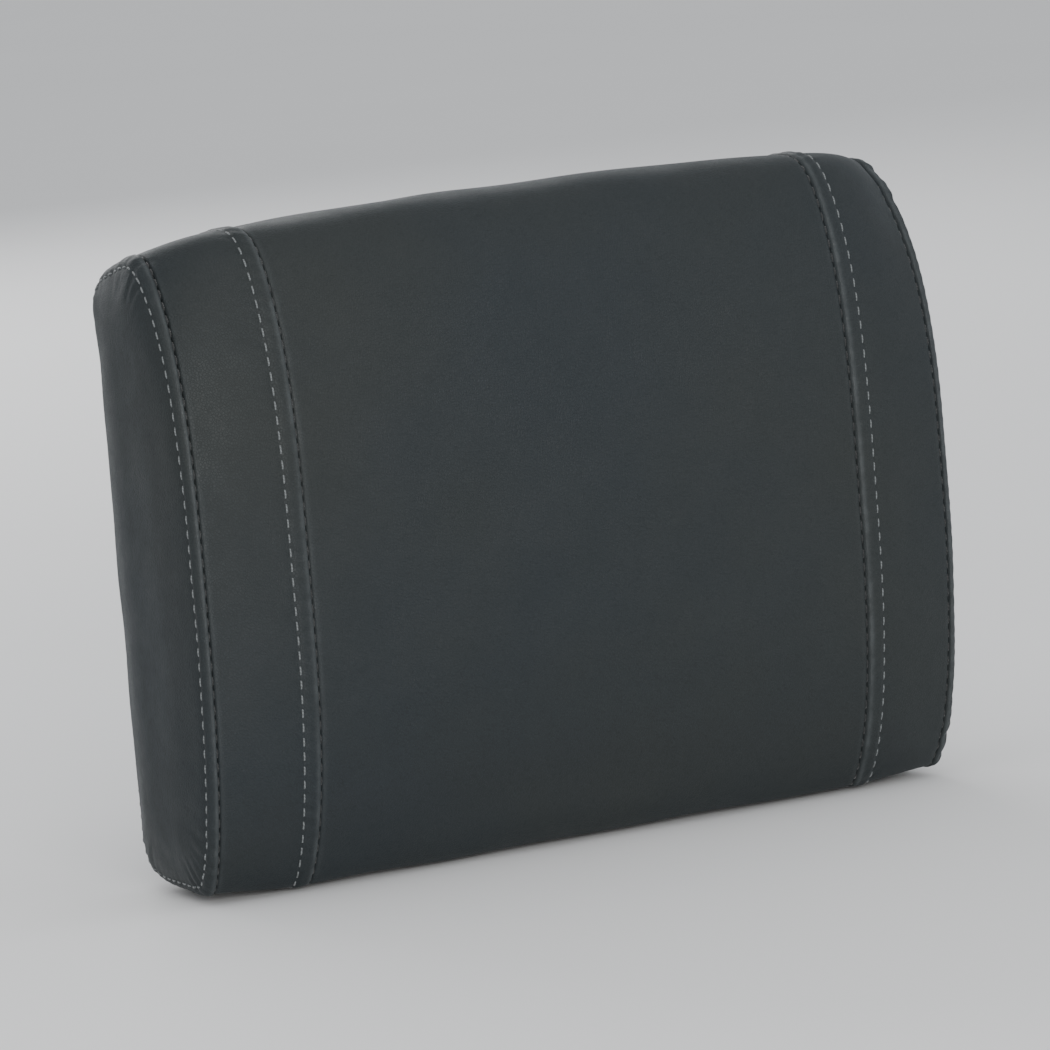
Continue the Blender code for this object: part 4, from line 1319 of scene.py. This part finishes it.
def make_strap(node, way):
    low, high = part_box(node)
    route, close_x, tail_x, strap_y = strap_route(node)
    middle, half = (low.z + high.z) / 2, (high.z - low.z) / 2
    across = np.linspace(-half, half, 41)
    thick = 0.75 * MM * np.clip((half - np.abs(across)) / (0.7 * MM), 0.0, 1.0) ** 0.5
    thick = np.maximum(thick, 0.25 * MM) - 0.05 * MM * (0.5 + 0.5 * np.cos(2 * np.pi * across / (3 * MM)))
    ring_z = np.concatenate([across, across[::-1]])
    ring_out = np.concatenate([thick, -thick[::-1]])
    ahead = unit(np.gradient(route, axis=0))[:, None]
    run = np.concatenate([[0], np.cumsum(np.hypot(*np.diff(route, axis=0).T))])[:, None]
    edge = 0.12 * MM * Wander(90 + way, 60 * MM, 9 * MM, 6)(run)
    xs = way * (route[:, None, 0] - ahead[..., 1] * ring_out)
    ys = route[:, None, 1] + ahead[..., 0] * ring_out
    points = spread(xs, ys, middle + ring_z * 0.995 + edge * (ring_z / half))
    mesh = grid_mesh(f"{node}_webbing", points, closed=True, capped=True, sharp=60, run=run, width=ring_z)
    moving = node == "strap_right"
    body = None if moving else "cushion"
    strap = add_piece(f"{node}_webbing", mesh, WEBBING, body, [node])
    sewn = make_strap_sewing(node, way, close_x, tail_x, strap_y, middle, body)
    if moving:
        for piece in (strap, *sewn):
            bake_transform(piece)


def make_strap_sewing(node, way, close_x, tail_x, strap_y, middle, body):
    """A box with a cross in it where a loop is sewn, or two rows across the end of an adjusting tail."""
    face = 0.95 * MM + 0.70 * MM
    if body:
        x_low, x_high, z = close_x + 2.5 * MM, tail_x - 3 * MM, 11.5 * MM
        corners = [(x_low, -z), (x_high, -z), (x_high, z), (x_low, z)]
        lines = [(corners[k - 1], corners[k]) for k in range(4)]
        lines += [(corners[0], corners[2]), (corners[1], corners[3])]
    else:
        lines = [((tail_x - d, -11 * MM), (tail_x - d, 11 * MM)) for d in (2.2 * MM, 5.0 * MM)]
    sewn = []
    for side, sign in (("outer", 1), ("inner", -1))[:2 if body else 1]:
        rows = []
        for (x0, z0), (x1, z1) in lines:
            count = max(3, round(math.hypot(x1 - x0, z1 - z0) / (3.0 * MM)))
            share = (np.arange(count)[:, None] + 0.5 + 0.36 * np.linspace(-1, 1, 6)[None]) / count
            xs, zs = way * lerp(x0, x1, share), middle + lerp(z0, z1, share)
            rows.append(spread(xs, strap_y + sign * face, zs))
        name, centres = f"{node}_sewing_{side}", np.concatenate(rows)
        sewn.append(stitches(name, centres, (0, sign, 0), 0.30 * MM, LIGHT_THREAD, body))
    return sewn


# ---------------------------------------------------------------- buckle and keeper

def grooves(first, step, count, half_width, y, face, z, half_length):
    """Cuts for grip grooves across both faces of a buckle part."""
    return [
        centred((first + step * k, y + sign * face, z), (half_width, 0.35 * MM, half_length), 0.2 * MM)
        for sign in (1, -1) for k in range(count)
    ]


def make_socket():
    low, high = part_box("buckle_socket")
    y, z = (low.y + high.y) / 2, (low.z + high.z) / 2
    face, edge = (high.y - low.y) / 2, (high.z - low.z) / 2
    body_end = low.x + 9 * MM
    rim = mirrored([
        (body_end, edge - 0.2 * MM), (body_end + 4 * MM, edge), (high.x - 15.5 * MM, edge - 0.2 * MM),
        (high.x - 12 * MM, edge - 1.4 * MM), (high.x - 6.5 * MM, edge - 1.2 * MM), (high.x - 3.5 * MM, edge),
        (high.x, edge - 0.5 * MM),
    ], 1.6 * MM, z)
    body = plate("socket_body", [rim], 2 * face, 1.2 * MM, y)
    body = combined(body, strap_bar(low.x, body_end + 3 * MM, y, z, edge, 1), "UNION")
    cavity = centred((high.x - 10.5 * MM, y, z), (12.5 * MM, 2.5 * MM, 15.5 * MM), 0.5 * MM)
    windows = centred((high.x - 12 * MM, y, z), (6 * MM, 2.5 * MM, edge + 2 * MM), 0.6 * MM)
    cuts = [cavity, windows, *grooves(body_end + 5.0 * MM, 2.4 * MM, 3, 0.5 * MM, y, face, z, 11 * MM)]
    for sign in (1, -1):
        mouth, depth = high.x + 3 * MM, high.x - 4.5 * MM
        arch = filleted([(mouth, -7 * MM), (depth, -4.5 * MM), (depth, 4.5 * MM), (mouth, 7 * MM)], 3 * MM)
        arch = [(px, z + pz) for px, pz in arch]
        cuts.append(plate("socket_arch", [arch], 2.4 * MM, 0.1 * MM, y + sign * (face - 0.6 * MM)))
    mesh = softened(combined(body, cuts, "DIFFERENCE"), 0.22 * MM)
    add_piece("buckle_socket_moulded", mesh, PLASTIC, "cushion", ["buckle_socket"])


def strap_bar(bar_end, body_x, y, z, edge, way):
    """The two rails and the round-edged bar that a strap loops round. way leads to the buckle's body."""
    start, stop = sorted((bar_end, body_x))
    rail = ((stop - start) / 2, 2.5 * MM, 1.6 * MM)
    off = edge - 1.9 * MM
    parts = [centred(((start + stop) / 2, y, z + side), rail, 0.9 * MM, 3) for side in (off, -off)]
    bar = (1.75 * MM, 1.3 * MM, edge - 1.5 * MM)
    return [*parts, centred((bar_end + way * 1.75 * MM, y, z), bar, 0.8 * MM, 3)]


def make_plug():
    low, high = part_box("buckle_plug")
    y, z = (low.y + high.y) / 2, (low.z + high.z) / 2
    face, edge = (high.y - low.y) / 2, (high.z - low.z) / 2
    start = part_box("buckle_socket")[1].x + GAP
    stop = high.x - 9 * MM
    rim = mirrored([
        (start, edge - 0.5 * MM), (start + 2.5 * MM, edge), (stop - 1.5 * MM, edge), (stop, edge - 1.0 * MM)
    ], 1.4 * MM, z)
    body = plate("plug_body", [rim], 2 * face, 1.2 * MM, y)
    half = [(start + 2 * MM, 3.0 * MM), (low.x + 3 * MM, 3.0 * MM), (low.x, 1.6 * MM)]
    tongue_rim = mirrored(half, 0.6 * MM, z)
    tongue = plate("plug_tongue", [tongue_rim], 4.4 * MM, 0.5 * MM, y)
    body = combined(body, strap_bar(high.x, stop - 3 * MM, y, z, edge, -1) + [tongue], "UNION")
    cuts = grooves(start + 2.4 * MM, 2.0 * MM, 2, 0.45 * MM, y, face, z, 12 * MM)
    mesh = softened(combined(body, cuts, "DIFFERENCE"), 0.22 * MM)
    add_piece("buckle_plug_moulded", mesh, PLASTIC, "buckle_plug", ["buckle_plug"])


def make_prong(side, sign):
    node = f"latch_prong_{side}"
    low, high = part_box(node)
    y, thick = (low.y + high.y) / 2, high.y - low.y
    inner, outer = (low.z, high.z) if sign > 0 else (high.z, low.z)
    arm = sign * 2.4 * MM
    tip = low.x
    corners = [
        (high.x, inner), (high.x, inner + arm), (tip + 13.4 * MM, inner + arm), (tip + 11.6 * MM, outer),
        (tip + 3.6 * MM, outer), (tip + 2.0 * MM, outer - sign * 1.4 * MM), (tip, inner + arm * 0.75),
        (tip, inner + arm * 0.3), (tip + 1.2 * MM, inner),
    ]
    body = plate(f"{node}_arm", [filleted(corners, 0.7 * MM)], thick, 0.4 * MM, y)
    cut = (0.35 * MM, thick / 2 + 1 * MM, 0.45 * MM)
    z = outer + sign * 0.15 * MM
    cuts = [centred((tip + 5.0 * MM + 1.7 * MM * k, y, z), cut, 0.12 * MM) for k in range(4)]
    mesh = softened(combined(body, cuts, "DIFFERENCE"), 0.1 * MM)
    add_piece(f"{node}_moulded", mesh, PLASTIC, node, [node])


def make_keeper():
    low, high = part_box("strap_keeper")
    y, z = (low.y + high.y) / 2, (low.z + high.z) / 2
    wall = 1.6 * MM
    profile = (  # run along the strap, and how much thinner than the wall, in mm
        (0.0, 1.6), (0.0, 0.5), (0.15, 0.15), (0.5, 0.05), (1.6, 0.15), (4.0, 0.0),
        (6.4, 0.15), (7.5, 0.05), (7.85, 0.15), (8.0, 0.5), (8.0, 1.6),
    )
    rings = []
    for run, thinner in profile:
        out = wall - thinner * MM
        reach_y, reach_z = (high.y - low.y) / 2 - wall + out, (high.z - low.z) / 2 - wall + out
        corners = [(-reach_z, -reach_y), (reach_z, -reach_y), (reach_z, reach_y), (-reach_z, reach_y)]
        ring = filleted(corners, 0.5 * MM + out, 6)
        rings.append([(low.x + run * MM, y + py, z + pz) for pz, py in ring])
    name = "strap_keeper_moulded"
    mesh = smoothed(tidied(grid_mesh(name, np.array(rings + rings[:1]), closed=True)), 48)
    add_piece(name, mesh, PLASTIC, "strap_keeper", ["strap_keeper"])


def make_back_sewing():
    inside = OUTER - 4 * MM
    light, dark = (LIGHT_THREAD, THREAD, 0.0), (DARK_THREAD_AND_SHADE, THREAD * 1.1, SEAM_SINK)
    rows = (
        ("topstitch_zip_upper", back_distance(ZIP_HIGH + ZIP_ROW), light),
        ("topstitch_zip_lower", back_distance(ZIP_LOW - ZIP_ROW), light),
        ("seam_stitch_back_top", 0.0, dark),
        ("seam_stitch_back_bottom", STARTS[3], dark),
    )
    for k, (name, distance, (thread, radius, depth)) in enumerate(rows):
        spans = stitch_spans(-inside, inside, PITCH, STITCH, seed=95 + k)
        points, normals = cover_points(spans.ravel(), place(np.array([distance])), depth)
        shape = (*spans.shape, 3)
        stitches(name, points[:, 0].reshape(shape), normals[:, 0].reshape(shape), radius, thread)


make_camera()
make_studio()
make_cover()
make_stitching()
make_back_sewing()
make_filling()
make_zip()
make_strap("strap_left", -1)
make_strap("strap_right", 1)
make_socket()
make_plug()
make_prong("upper", 1)
make_prong("lower", -1)
make_keeper()
